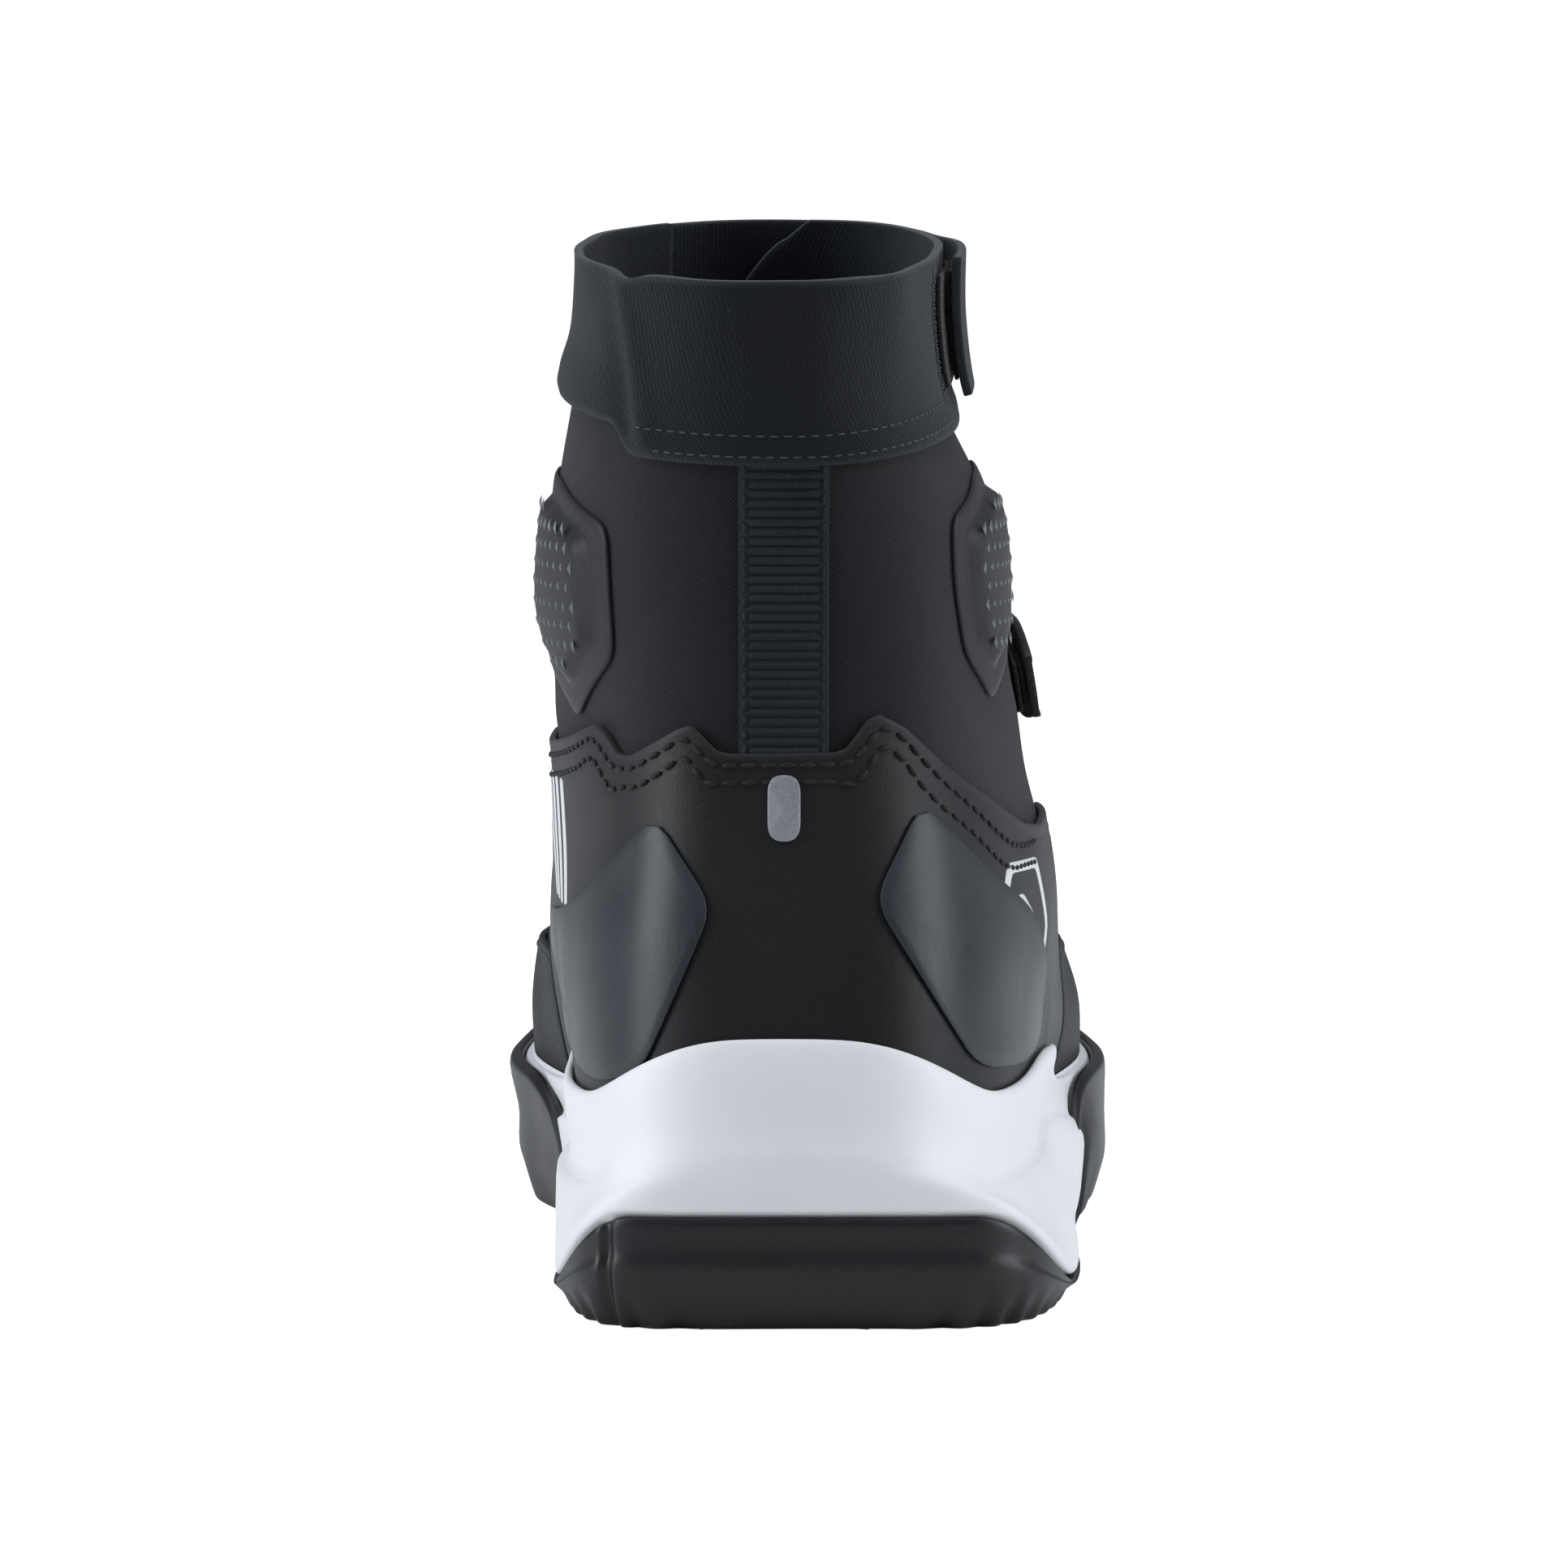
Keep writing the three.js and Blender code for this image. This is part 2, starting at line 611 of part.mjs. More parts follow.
/** A guard's padding between upper and lining, behind the guard. */
const foamRows = [[100, 42, 62], [110, 34, 78], [132, 34, 80], [140, 42, 74]];

// ---------------------------------------------------------------- eyestays, loops and lace
const eyestayLow = vampLevel + 0.15;
const eyestayTop = 7.2;

/** Across the instep from the outer edge of one eyestay to the throat. */
function makeEyestay(side) {
  return cutPiece(3, 10, overlayLow, overlayHigh, (u, v) => {
    const level = lerp(eyestayLow, eyestayTop, v);
    const inner = throatWidth / 2 + 1;
    const x = side > 0 ? lerp(inner + eyestayWidth, inner, u) : -lerp(inner, inner + eyestayWidth, u);
    const reach = Math.sign(x) * Math.min(Math.abs(x), 0.93 * Math.abs(onLast((side * Math.PI) / 2 + Math.PI * (side < 0 ? 2 : 0), level).x));
    return [angleAtFront(level, reach), level];
  });
}

const laceSeat = throatWidth / 2 + 7;
const laceHeight = overlayHigh + 2 * clearance + laceRadius;
const topRow = 6.02;
const laceRun = 4;
const holderSize = 5;
const holderStep = 0.85;
const rowLevel = (n) => lerp(eyestayLow + 0.3, topRow, n / (laceRows - 1));

/** The middle of a lace loop on the last, with the directions up the throat, away from it and off the boot. */
function loopFrame(side, row) {
  const level = rowLevel(row);
  const angle = angleAtFront(level, side * laceSeat);
  const foot = onLast(angle, level);
  const up = outward(angle, level);
  const forward = onLast(angleAtFront(level + 0.02, side * laceSeat), level + 0.02).sub(foot).normalize();
  const away = new THREE.Vector3().crossVectors(up, forward).multiplyScalar(side).normalize();
  return { foot, up, forward, away };
}

/** A wire arch that stands on the eyestay; the lace passes through it from the throat outwards. */
function makeLaceLoop(side, row) {
  const { foot, up, forward } = loopFrame(side, row);
  const points = Array.from({ length: 7 }, (_, n) => {
    const a = (n * Math.PI) / 6;
    const high = overlayHigh + clearance + loopWire + loopRadius * Math.sin(a);
    return foot.clone().addScaledVector(forward, loopRadius * Math.cos(a)).addScaledVector(up, high);
  });
  return bar(new THREE.CatmullRomCurve3(points), loopWire, 6, 8);
}

/** A point beside the eyestay's loops, for the stretches of lace outside them. */
const besideLoops = (side, row, height) => {
  const level = rowLevel(row);
  return off(angleAtFront(level, side * (laceSeat + laceRun)), level, height);
};

/** The place of the tab that holds an end of the lace: before the first loop (way -1) or past the last (way 1). */
function holderFrame(side, way) {
  const frame = loopFrame(side, way < 0 ? -holderStep : laceRows - 1 + holderStep);
  const middle = frame.foot.clone().addScaledVector(frame.away, laceRun).addScaledVector(frame.up, laceHeight);
  const laceTip = middle.clone().addScaledVector(frame.forward, -way * (holderSize / 2 + clearance));
  return { ...frame, middle, laceTip };
}

/** A small stitched tab on the eyestay that holds one end of the lace. */
function makeHolder(side, way) {
  const { up, away, middle } = holderFrame(side, way);
  const height = laceHeight + laceRadius - overlayHigh - 2 * clearance;
  const place = new THREE.Matrix4().makeBasis(away, up.clone().cross(away), up).setPosition(middle);
  const drop = (overlayHigh + 2 * clearance + laceHeight + laceRadius) / 2 - laceHeight;
  return cleaned(new THREE.BoxGeometry(holderSize, holderSize, height).translate(0, 0, drop).applyMatrix4(place));
}

/** One lace: from its anchor over the throat, up the side through two loops, back over the throat, and so on. */
function makeLace() {
  const play = 2.4;
  const climb = 0.45;
  const points = [];
  const pass = (side, row, ways) => {
    const { foot, up, away } = loopFrame(side, row);
    const middle = foot.addScaledVector(up, laceHeight);
    points.push(...ways.map((way) => middle.clone().addScaledVector(away, way * play)));
  };
  const cross = (side, row) => {
    for (const share of [0.12, 0.31, 0.5, 0.69, 0.88]) {
      const level = rowLevel(row) + 0.17 + climb * Math.sin(Math.PI * share);
      const x = side * (laceSeat - play - 1) * (1 - 2 * share);
      points.push(off(angleAtFront(level, x), level, laceHeight + 0.4));
    }
  };
  points.push(holderFrame(-1, -1).laceTip);
  let side = -1;
  for (let row = 0; row < laceRows; row++) {
    pass(side, row, [1, 0, -1]);
    cross(side, row);
    side = -side;
    pass(side, row, [-1, 0, 1]);
    points.push(row + 1 < laceRows ? besideLoops(side, row + 0.5, laceHeight) : holderFrame(side, 1).laceTip);
  }
  return bar(new THREE.CatmullRomCurve3(points, false, "centripetal"), laceRadius, 8, 80);
}

// ---------------------------------------------------------------- the ankle strap
const strapLoopLow = clearance;
const strapHookLow = strapLoopLow + patchWall + clearance;
const strapFace = strapHookLow + patchWall + clearance;
const strapTip = { side: 1, y: 84, z: 106 };
const strapSeam = { side: -1, y: 92, z: 108 };
const strapPeak = 7.5;
const strapHinge = 0.76;
const creaseGap = 0.003;

/** The middle line of the strap: from its tip on the outer side, over the instep, to its seam on the inner side. */
function strapMiddle(share) {
  const [from, low] = onSide(strapTip.side, strapTip.y * scaleY, strapTip.z * scaleZ);
  const [to, end] = onSide(strapSeam.side, strapSeam.y * scaleY, strapSeam.z * scaleZ);
  const level = lerp(lerp(low, end, share), strapPeak, Math.sin(Math.PI * share) ** 1.2);
  return [lerp(from, to + 2 * Math.PI, share), level];
}

/** A piece of the strap between two shares of its length, at a height over the last. */
function strapPiece(from, to, width, columns, place) {
  return wrapped(columns, 4, (u, v, w) => {
    const share = lerp(from, to, u);
    const [angle, middle] = strapMiddle(share);
    const taper = lerp(0.55, 1, smooth(share, 0, 0.07));
    const perLevel = 2 * onLast(angle, middle + 0.25).distanceTo(onLast(angle, middle - 0.25));
    return off(angle, middle + ((v - 0.5) * width * taper) / perLevel, place(share, w));
  });
}

/** The strap's height over the last, which falls to the upper's face at its seam. */
const strapPlace = (share, w) => lerp(strapFace, clearance, smooth(share, 0.86, 0.95)) + w * strapWall;

// ---------------------------------------------------------------- the collar
const bandSeam = degrees(-150);
const bandEnd = degrees(194);
const flapTip = degrees(80);
const flapRoot = degrees(-141);
const bandFace = clearance;
const loopFace = bandFace + collarWall + clearance * scaleY ** 2;
const patchSpan = degrees(30);

/** The level of the collar's lower edge, lowest at the heel. */
const collarLow = (angle) => levelAt(angle, onLast(angle, topLevel).z - collarDrop * lerp(1, 0.88, depthShare(angle)));

function makeCollarBand() {
  return cutPiece(36, 4, bandFace, bandFace + collarWall, (u, v) => {
    const angle = lerp(bandSeam, bandEnd, u);
    return [angle, lerp(collarLow(angle), topLevel + 0.3, v)];
  });
}

/** The flap's height over the band: it lies on the band, and rides over the hook and loop at its tip. */
function flapFace(turn) {
  const overPatch = 1 - smooth(turn, flapTip + patchSpan, flapTip + patchSpan + degrees(16));
  return loopFace + overPatch * 2 * (patchWall + clearance);
}

/** The collar flap, from its tip on the outer side, over the front, to its seam on the inner side. */
function makeCollarFlap() {
  const turns = ringBetween(flapTip, flapRoot + 2 * Math.PI);
  return wrapped(turns.length - 1, 4, (u, v, w) => {
    const turn = pick(turns, u);
    const level = lerp(collarLow(turn) + 0.25, topLevel - 0.1, v);
    return off(turn, level, flapFace(turn) + w * collarWall);
  });
}

/** A hook or loop patch under the flap's tip. */
function collarPatch(from, to, face) {
  const turns = ringBetween(from, to);
  return layer(turns.length - 1, 3, face, face + patchWall, (u, v) => {
    const turn = pick(turns, u);
    return [turn, lerp(collarLow(turn) + 0.45, topLevel - 0.3, v)];
  });
}

// ---------------------------------------------------------------- materials
const finish = (color, roughness, metalness = 0) => new THREE.MeshStandardMaterial({ color, roughness, metalness });
const softshell = finish(0x2b2a2e, 0.9);
const microfibre = finish(0x26262a, 0.55);
const greyFilm = finish(0x4d4f55, 0.4);
const reflective = finish(0x7d8083, 0.35);
const webbing = finish(0x172025, 0.85);
const guardPlastic = finish(0x414244, 0.5);
const stretchKnit = finish(0x22262c, 0.95);
const hookTape = finish(0x101113, 0.9);
const foam = finish(0x1b1b1d, 1);
const whiteFoam = finish(0xe9eaec, 0.5);
const rubber = finish(0x1a1c20, 0.6);
const board = finish(0x8a7f70, 0.9);
const steel = finish(0xb8babd, 0.35, 1);
const cord = finish(0x131417, 0.8);
const thermoplastic = finish(0xd2d0c8, 0.6);

const boot = new THREE.Group();

/** Adds one named sub-part to the boot. */
function add(name, geometry, material) {
  geometry.computeVertexNormals();
  const mesh = new THREE.Mesh(geometry, material);
  mesh.name = name;
  boot.add(mesh);
  return mesh;
}

// Sole unit
add("outsole", makeOutsole(), rubber);
add("midsole", makeMidsole(), whiteFoam);
add("insole_board", bedPlate(-upperWall - boardGap, boardLow, boardLow + boardWall), board);
add("shank", makeShank(), steel);
add("footbed", bedPlate(liningFace(0) - liningWall - 0.5, footbedLow, footbedLow + footbedWall), foam);

// Upper, stiffeners and lining
add("quarter_lateral", makeQuarter(1), softshell);
add("quarter_medial", makeQuarter(-1), softshell);
add("vamp", makeVamp(), softshell);
add("tongue", makeTongue(), softshell);
add("lining", makeLining(), foam);
add("heel_stiffener", makeStiffener(degrees(-78), degrees(78), 0.6, 3.4), thermoplastic);
add("toe_puff", makeStiffener(degrees(142), degrees(218), 0.6, 2.6), thermoplastic);
for (const [name, side] of [["lateral", 1], ["medial", -1]]) {
  const face = -upperWall - clearance;
  add(`ankle_foam_${name}`, sidePatch(side, foamRows, face - foamWall, face), foam);
}

// Overlays
add("heel_overlay", makeHeelOverlay(), microfibre);
add("heel_film_lateral", heelFilm(1, [[44, 31, 42], [57, 24, 43.5], [72, 16, 35], [85, 21, 24.5]]), greyFilm);
add("heel_film_medial", heelFilm(-1, [[44, 23, 33], [58, 18, 36], [71, 12.5, 30], [84, 18, 21.5]]), greyFilm);
add("reflector", heelStrip(reflectorWidth, overlayHigh + clearance, overlayHigh + clearance + 0.8, 86.8 - reflectorLength / 2, 86.8 + reflectorLength / 2, 3), reflective);
const webbingTop = sections[topLevel].back[1] - collarDrop / scaleZ - 1;
add("heel_webbing", heelStrip(webbingWidth, clearance, clearance + webbingWall, 96, webbingTop, 8), webbing);
for (const [name, side] of [["lateral", 1], ["medial", -1]]) {
  add(`ankle_guard_${name}`, sidePatch(side, guardRows[name], clearance, clearance + guardWall, 5), guardPlastic);
  const turn = side > 0 ? (u) => lerp(degrees(91), degrees(148), u) : (u) => lerp(degrees(-148), degrees(-91), u);
  add(`forefoot_overlay_${name}`, cutPiece(8, 4, overlayLow, overlayHigh, (u, v) => [turn(u), lerp(0.3, 1.9, v)]), microfibre);
}
add("toe_cap", cutPiece(14, 6, overlayLow, overlayHigh, (u, v) => [lerp(degrees(150), degrees(210), u), lerp(0.3, 2.9, v)]), rubber);

// Lacing
for (const [name, side] of [["lateral", 1], ["medial", -1]]) {
  add(`eyestay_${name}`, makeEyestay(side), microfibre);
  for (let row = 0; row < laceRows; row++) add(`lace_loop_${name}_${row + 1}`, makeLaceLoop(side, row), webbing);
}
add("lace", makeLace(), cord);
add("lace_anchor", makeHolder(-1, -1), microfibre);
add("lace_garage", makeHolder(1, 1), microfibre);

// Ankle strap with its hook and loop
add("ankle_strap", strapPiece(0, strapHinge - creaseGap, strapWidth, 24, strapPlace), webbing);
add("ankle_strap_root", strapPiece(strapHinge + creaseGap, 1, strapWidth, 10, strapPlace), webbing);
const onHook = (_, w) => strapHookLow + w * patchWall;
const onLoop = (_, w) => strapLoopLow + w * patchWall;
add("ankle_strap_hook", strapPiece(0.01, 0.12, strapWidth - 8, 5, onHook), hookTape);
add("ankle_strap_loop", strapPiece(0.005, 0.1, strapWidth - 5, 5, onLoop), hookTape);

// Collar with its hook and loop
add("collar_band", makeCollarBand(), stretchKnit);
add("collar_flap", makeCollarFlap(), stretchKnit);
add("collar_loop", collarPatch(flapTip - degrees(7), flapTip + patchSpan - degrees(6), loopFace), hookTape);
add("collar_hook", collarPatch(flapTip + degrees(2), flapTip + patchSpan - degrees(4), loopFace + patchWall + clearance), hookTape);

// The frame stands at the middle of the footprint, on the ground.
const box = new THREE.Box3().setFromObject(boot);
boot.position.set(-(box.min.x + box.max.x) / 2, -(box.min.y + box.max.y) / 2, -box.min.z);
const model = new THREE.Group();
model.add(boot);

export default model;
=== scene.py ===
import logging
import math
from collections.abc import Callable, Sequence
from dataclasses import dataclass, field
from enum import Enum
from typing import ClassVar

import bmesh
import bpy
import numpy as np
from mathutils import Matrix, Vector


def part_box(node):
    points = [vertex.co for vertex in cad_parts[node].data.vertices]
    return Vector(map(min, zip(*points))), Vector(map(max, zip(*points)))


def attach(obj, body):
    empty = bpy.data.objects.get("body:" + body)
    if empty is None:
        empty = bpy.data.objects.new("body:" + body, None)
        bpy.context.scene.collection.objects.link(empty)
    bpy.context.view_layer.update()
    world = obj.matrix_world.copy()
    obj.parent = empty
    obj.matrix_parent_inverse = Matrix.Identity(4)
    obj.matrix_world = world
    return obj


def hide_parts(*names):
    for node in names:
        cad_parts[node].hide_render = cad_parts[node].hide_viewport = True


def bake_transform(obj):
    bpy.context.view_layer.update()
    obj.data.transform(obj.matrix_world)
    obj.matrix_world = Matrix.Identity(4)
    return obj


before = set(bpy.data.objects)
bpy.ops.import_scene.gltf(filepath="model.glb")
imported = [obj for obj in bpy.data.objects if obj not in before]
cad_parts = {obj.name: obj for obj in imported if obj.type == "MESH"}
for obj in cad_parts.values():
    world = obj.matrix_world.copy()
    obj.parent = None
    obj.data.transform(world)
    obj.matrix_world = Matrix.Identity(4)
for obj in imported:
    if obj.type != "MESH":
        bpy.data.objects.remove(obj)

LOG = logging.getLogger("boot")
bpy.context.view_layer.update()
MM = 0.001
Array = np.ndarray
Pair = tuple[float, float]
Colour = tuple[float, float, float, float]
Ring = Callable[[Array], Array]


def ease(value: Array, low: float, high: float) -> Array:
    """Smooth step of value from 0 at low to 1 at high."""
    t = np.clip((value - low) / (high - low), 0.0, 1.0)
    return t * t * (3 - 2 * t)


def mix(a: Array, b: Array, t: Array) -> Array:
    """The value a share t of the way from a to b."""
    return a + (b - a) * t


def bell(value: Array, middle: Array, width: float) -> Array:
    """A bump of height 1 round a middle value."""
    return np.exp(-(((value - middle) / width) ** 2))


def through(table: Array, t: Array) -> Array:
    """A smooth curve through evenly spaced rows.

    Args:
        table: the rows, first index along the curve.
        t: places along the curve, in rows.

    Returns:
        One interpolated row for each place.
    """
    t = np.asarray(t, float)
    k = np.clip(np.floor(t), 0, len(table) - 2).astype(int)
    f = (t - k)[..., None]
    a, b = table[np.maximum(k - 1, 0)], table[k]
    c, d = table[k + 1], table[np.minimum(k + 2, len(table) - 1)]
    return b + 0.5 * f * (c - a + f * (2 * a - 5 * b + 4 * c - d + f * (3 * (b - c) + d - a)))


def solve(rising: Callable[[Array], Array], target: Array, low: float, high: float) -> Array:
    """Where a rising function reaches a target.

    Args:
        rising: the function, on arrays shaped as the target.
        target: the values to reach.
        low: the low end of the search.
        high: the high end of the search.

    Returns:
        The places, shaped as the target.
    """
    target = np.asarray(target, float)
    bottom, top = np.full(target.shape, low), np.full(target.shape, high)
    for _ in range(24):
        middle = (bottom + top) / 2
        short = rising(middle) < target
        bottom, top = np.where(short, middle, bottom), np.where(short, top, middle)
    return (bottom + top) / 2


def unit(vectors: Array) -> Array:
    """Vectors scaled to length 1."""
    return vectors / np.maximum(np.linalg.norm(vectors, axis=-1, keepdims=True), 1e-9)


def rounded(corners: Sequence[Pair], radius: float, count: int) -> Array:
    """A closed outline with rounded corners, cut into even steps.

    Args:
        corners: the outline's corners in order.
        radius: how far from each corner its curve starts.
        count: the number of points wanted.

    Returns:
        An array of count points.
    """
    points, line = [], np.array(corners, float)
    for before, corner, after in zip(np.roll(line, 1, 0), line, np.roll(line, -1, 0)):
        reach = [min(radius, 0.45 * np.linalg.norm(end - corner)) for end in (before, after)]
        start, stop = (corner + r * unit(end - corner) for r, end in zip(reach, (before, after)))
        for t in np.linspace(0, 1, 6):
            points.append(mix(mix(start, corner, t), mix(corner, stop, t), t))
    ring = np.array(points + points[:1])
    run = np.concatenate([[0], np.linalg.norm(np.diff(ring, axis=0), axis=1).cumsum()])
    at = np.linspace(0, run[-1], count, endpoint=False)
    return np.stack([np.interp(at, run, ring[:, k]) for k in (0, 1)], 1)


# ---------------------------------------------------------------- the last


@dataclass(frozen=True)
class Last:
    """The foot shape under the upper. Angle 0 is the heel, a quarter turn the outer side, half a turn
    the toe; level 0 is the feather line and level 11 the rim of the collar."""

    shift: Pair
    length: float = 300.0
    toe_spring: float = 12.0
    # back y and z, front y and z, share of toe spring, half widths inside and outside, bluntness
    sections: ClassVar[Array] = np.array([
        [7, 24, 291, 24, 1, 41, 31, 47, 46, 44, 41, 56, 54, 0.5, 0.7],
        [4, 37, 292, 37, 1, 43, 35, 47.5, 48, 46, 46, 55.5, 55.5, 0.5, 0.7],
        [5, 50, 285, 50, 0.7, 43, 38.5, 45.5, 44, 46, 47, 51, 50, 0.52, 0.72],
        [8, 64, 266, 62, 0.4, 42.5, 39.5, 42.5, 39, 45.5, 47.5, 47.5, 44.5, 0.55, 0.75],
        [12, 80, 238, 70, 0.15, 41, 40, 37.5, 33, 44, 46, 43, 38, 0.6, 0.8],
        [16, 95, 208, 79, 0, 41, 40, 35.5, 31, 42, 43, 38, 34, 0.65, 0.8],
        [19, 110, 180, 91, 0, 40, 41, 36, 32, 40, 41, 36, 32, 0.7, 0.8],
        [20, 125, 155, 108, 0, 40, 41.5, 38, 34, 37, 38, 35, 32, 0.75, 0.8],
        [19, 140, 138, 130, 0, 39, 40, 37.5, 34, 35, 35.5, 33, 31, 0.8, 0.8],
        [17, 153, 129, 152, 0, 36.5, 37, 36, 34, 27, 27.5, 28.5, 29.5, 0.8, 0.8],
        [14, 165, 125, 169, 0, 35, 35, 35, 34, 25, 25, 26.5, 28, 0.8, 0.8],
        [12, 176, 123, 183, 0, 34.5, 34.5, 34.5, 34, 24.8, 24.8, 26.5, 28, 0.8, 0.8],
    ])
    top: ClassVar[int] = 11

    def spring(self, y: Array) -> Array:
        """How far the sole has risen towards the toe at y."""
        return self.toe_spring * np.maximum(0, (y / self.length - 0.63) / 0.37) ** 1.8

    @staticmethod
    def along(widths: Array, share: Array) -> Array:
        """A half width along the foot, eased between its heel, waist, ball and toe values.

        Args:
            widths: half widths at the heel, waist, ball and toe.
            share: how far along the foot, from 0 to 1.

        Returns:
            The half widths.
        """
        ends = ((0, 0.38), (0.38, 0.7), (0.7, 1.0))
        steps = ((widths[..., n + 1] - widths[..., n]) * ease(share, *ends[n]) for n in range(3))
        return widths[..., 0] + sum(steps)

    def at(self, angle: Array, level: Array) -> Array:
        """Points of the upper's face, in millimetres on the last.

        Args:
            angle: angles round the foot.
            level: levels up the upper.

        Returns:
            The points.
        """
        angle, level = np.broadcast_arrays(np.asarray(angle, float), np.asarray(level, float))
        row = through(self.sections, level)
        share, turn = (1 - np.cos(angle)) / 2, np.sin(angle)
        widths = np.where((turn >= 0)[..., None], row[..., 9:13], row[..., 5:9])
        blunt = mix(row[..., 13], row[..., 14], ease(share, 0.1, 0.8))
        y = mix(row[..., 0], row[..., 2], share)
        z = mix(row[..., 1], row[..., 3], share) + row[..., 4] * self.spring(y)
        x = np.sign(turn) * self.along(widths, share) * np.abs(turn) ** blunt
        return np.stack([x, y, z], -1)

    def outward(self, angle: Array, level: Array) -> Array:
        """The outward direction of the upper's face.

        Args:
            angle: angles round the foot.
            level: levels up the upper.

        Returns:
            Unit vectors.
        """
        angle, level = np.broadcast_arrays(np.asarray(angle, float), np.asarray(level, float))
        level = np.clip(level, 0.05, self.top - 0.05)
        round_ = self.at(angle + 0.02, level) - self.at(angle - 0.02, level)
        up = self.at(angle, level + 0.05) - self.at(angle, level - 0.05)
        return unit(np.cross(round_, up))

    def off(self, angle: Array, level: Array, height: Array) -> Array:
        """Points that stand off the upper's face by a height."""
        return self.at(angle, level) + self.outward(angle, level) * np.asarray(height)[..., None]

    def level_at(self, angle: Array, z: Array) -> Array:
        """The level at which the last reaches height z."""
        angle, z = np.broadcast_arrays(np.asarray(angle, float), np.asarray(z, float))
        return solve(lambda level: self.at(angle, level)[..., 2], z, 0, self.top)

    def level_over(self, angle: Array, z: Array) -> Array:
        """The level of a height over the rising feather line.

        Args:
            angle: angles round the foot.
            z: heights over the feather line.

        Returns:
            The levels.
        """
        angle, z = np.broadcast_arrays(np.asarray(angle, float), np.asarray(z, float))

        def flat(level: Array) -> Array:
            """Height less the rise of the toe."""
            point = self.at(angle, level)
            return point[..., 2] - self.spring(point[..., 1])

        return solve(flat, z, 0, self.top)

    def from_side(self, side: int, y: Array, z: Array) -> tuple[Array, Array]:
        """Angle and level of points given by depth y and height z on one side (+1 is the outer side).

        Args:
            side: +1 for the outer side, -1 for the inner side.
            y: depths from the heel.
            z: heights.

        Returns:
            The angles and the levels.
        """
        y, z = np.broadcast_arrays(np.asarray(y, float), np.asarray(z, float))
        angle = np.full(y.shape, side * math.pi / 2)
        level = self.level_at(angle, z)
        for _ in range(9):
            angle = side * solve(lambda a: self.at(side * a, level)[..., 1], y, 0, math.pi)
            level = self.level_at(angle, z)
        return angle, level

    def from_back(self, x: Array, z: Array) -> tuple[Array, Array]:
        """Angle and level of points on the heel given by x and height z.

        Args:
            x: distances across the heel.
            z: heights.

        Returns:
            The angles and the levels.
        """
        x, z = np.broadcast_arrays(np.asarray(x, float), np.asarray(z, float))
        level = self.level_at(np.zeros(x.shape), z)
        angle = np.zeros(x.shape)
        for _ in range(7):
            angle = solve(lambda a: self.at(a, level)[..., 0], x, -math.pi / 2, math.pi / 2)
            level = self.level_at(angle, z)
        return angle, level

    def from_front(self, level: Array, x: Array) -> Array:
        """The angle over the front at which a level reaches x."""
        level, x = np.broadcast_arrays(np.asarray(level, float), np.asarray(x, float))
        return solve(lambda a: -self.at(a, level)[..., 0], -x, math.pi / 2, 1.5 * math.pi)

    def place(self, points: Array) -> Array:
        """Points on the last moved to the frame, in metres."""
        return (np.asarray(points) + np.array([*self.shift, 0.0])) * MM


# ---------------------------------------------------------------- finishes


class Wire:
    """A shader socket that takes part in Python expressions; each operator adds one Math node."""

    def __init__(self, paint: "Paint", socket: bpy.types.NodeSocket) -> None:
        """Wraps a socket of a paint's node tree."""
        self.paint = paint
        self.socket = socket

    def maths(self, operation: str, *values: "Wire | float") -> "Wire":
        """A Math node over the given values."""
        return self.paint.node("ShaderNodeMath", {"operation": operation}, dict(enumerate(values)))

    def __add__(self, other: "Wire | float") -> "Wire":
        """self + other"""
        return self.maths("ADD", self, other)

    def __sub__(self, other: "Wire | float") -> "Wire":
        """self - other"""
        return self.maths("SUBTRACT", self, other)

    def __rsub__(self, other: float) -> "Wire":
        """other - self"""
        return self.maths("SUBTRACT", other, self)

    def __mul__(self, other: "Wire | float") -> "Wire":
        """self * other"""
        return self.maths("MULTIPLY", self, other)

    def __truediv__(self, other: "Wire | float") -> "Wire":
        """self / other"""
        return self.maths("DIVIDE", self, other)

    __radd__ = __add__
    __rmul__ = __mul__

    def wave(self) -> "Wire":
        """A wave from 0 to 1 that repeats once a unit."""
        return self.maths("SINE", self * (2 * math.pi)) * 0.5 + 0.5

    def peak(self, other: "Wire | float") -> "Wire":
        """The larger of two values."""
        return self.maths("MAXIMUM", self, other)

    def ramp(self, low: float, high: float) -> "Wire":
        """A smooth step from 0 at low to 1 at high.

        Args:
            low: the value that becomes 0.
            high: the value that becomes 1.

        Returns:
            The step.
        """
        return self.paint.node(
            "ShaderNodeMapRange",
            {"interpolation_type": "SMOOTHSTEP"},
            {"Value": self, "From Min": low, "From Max": high},
        )


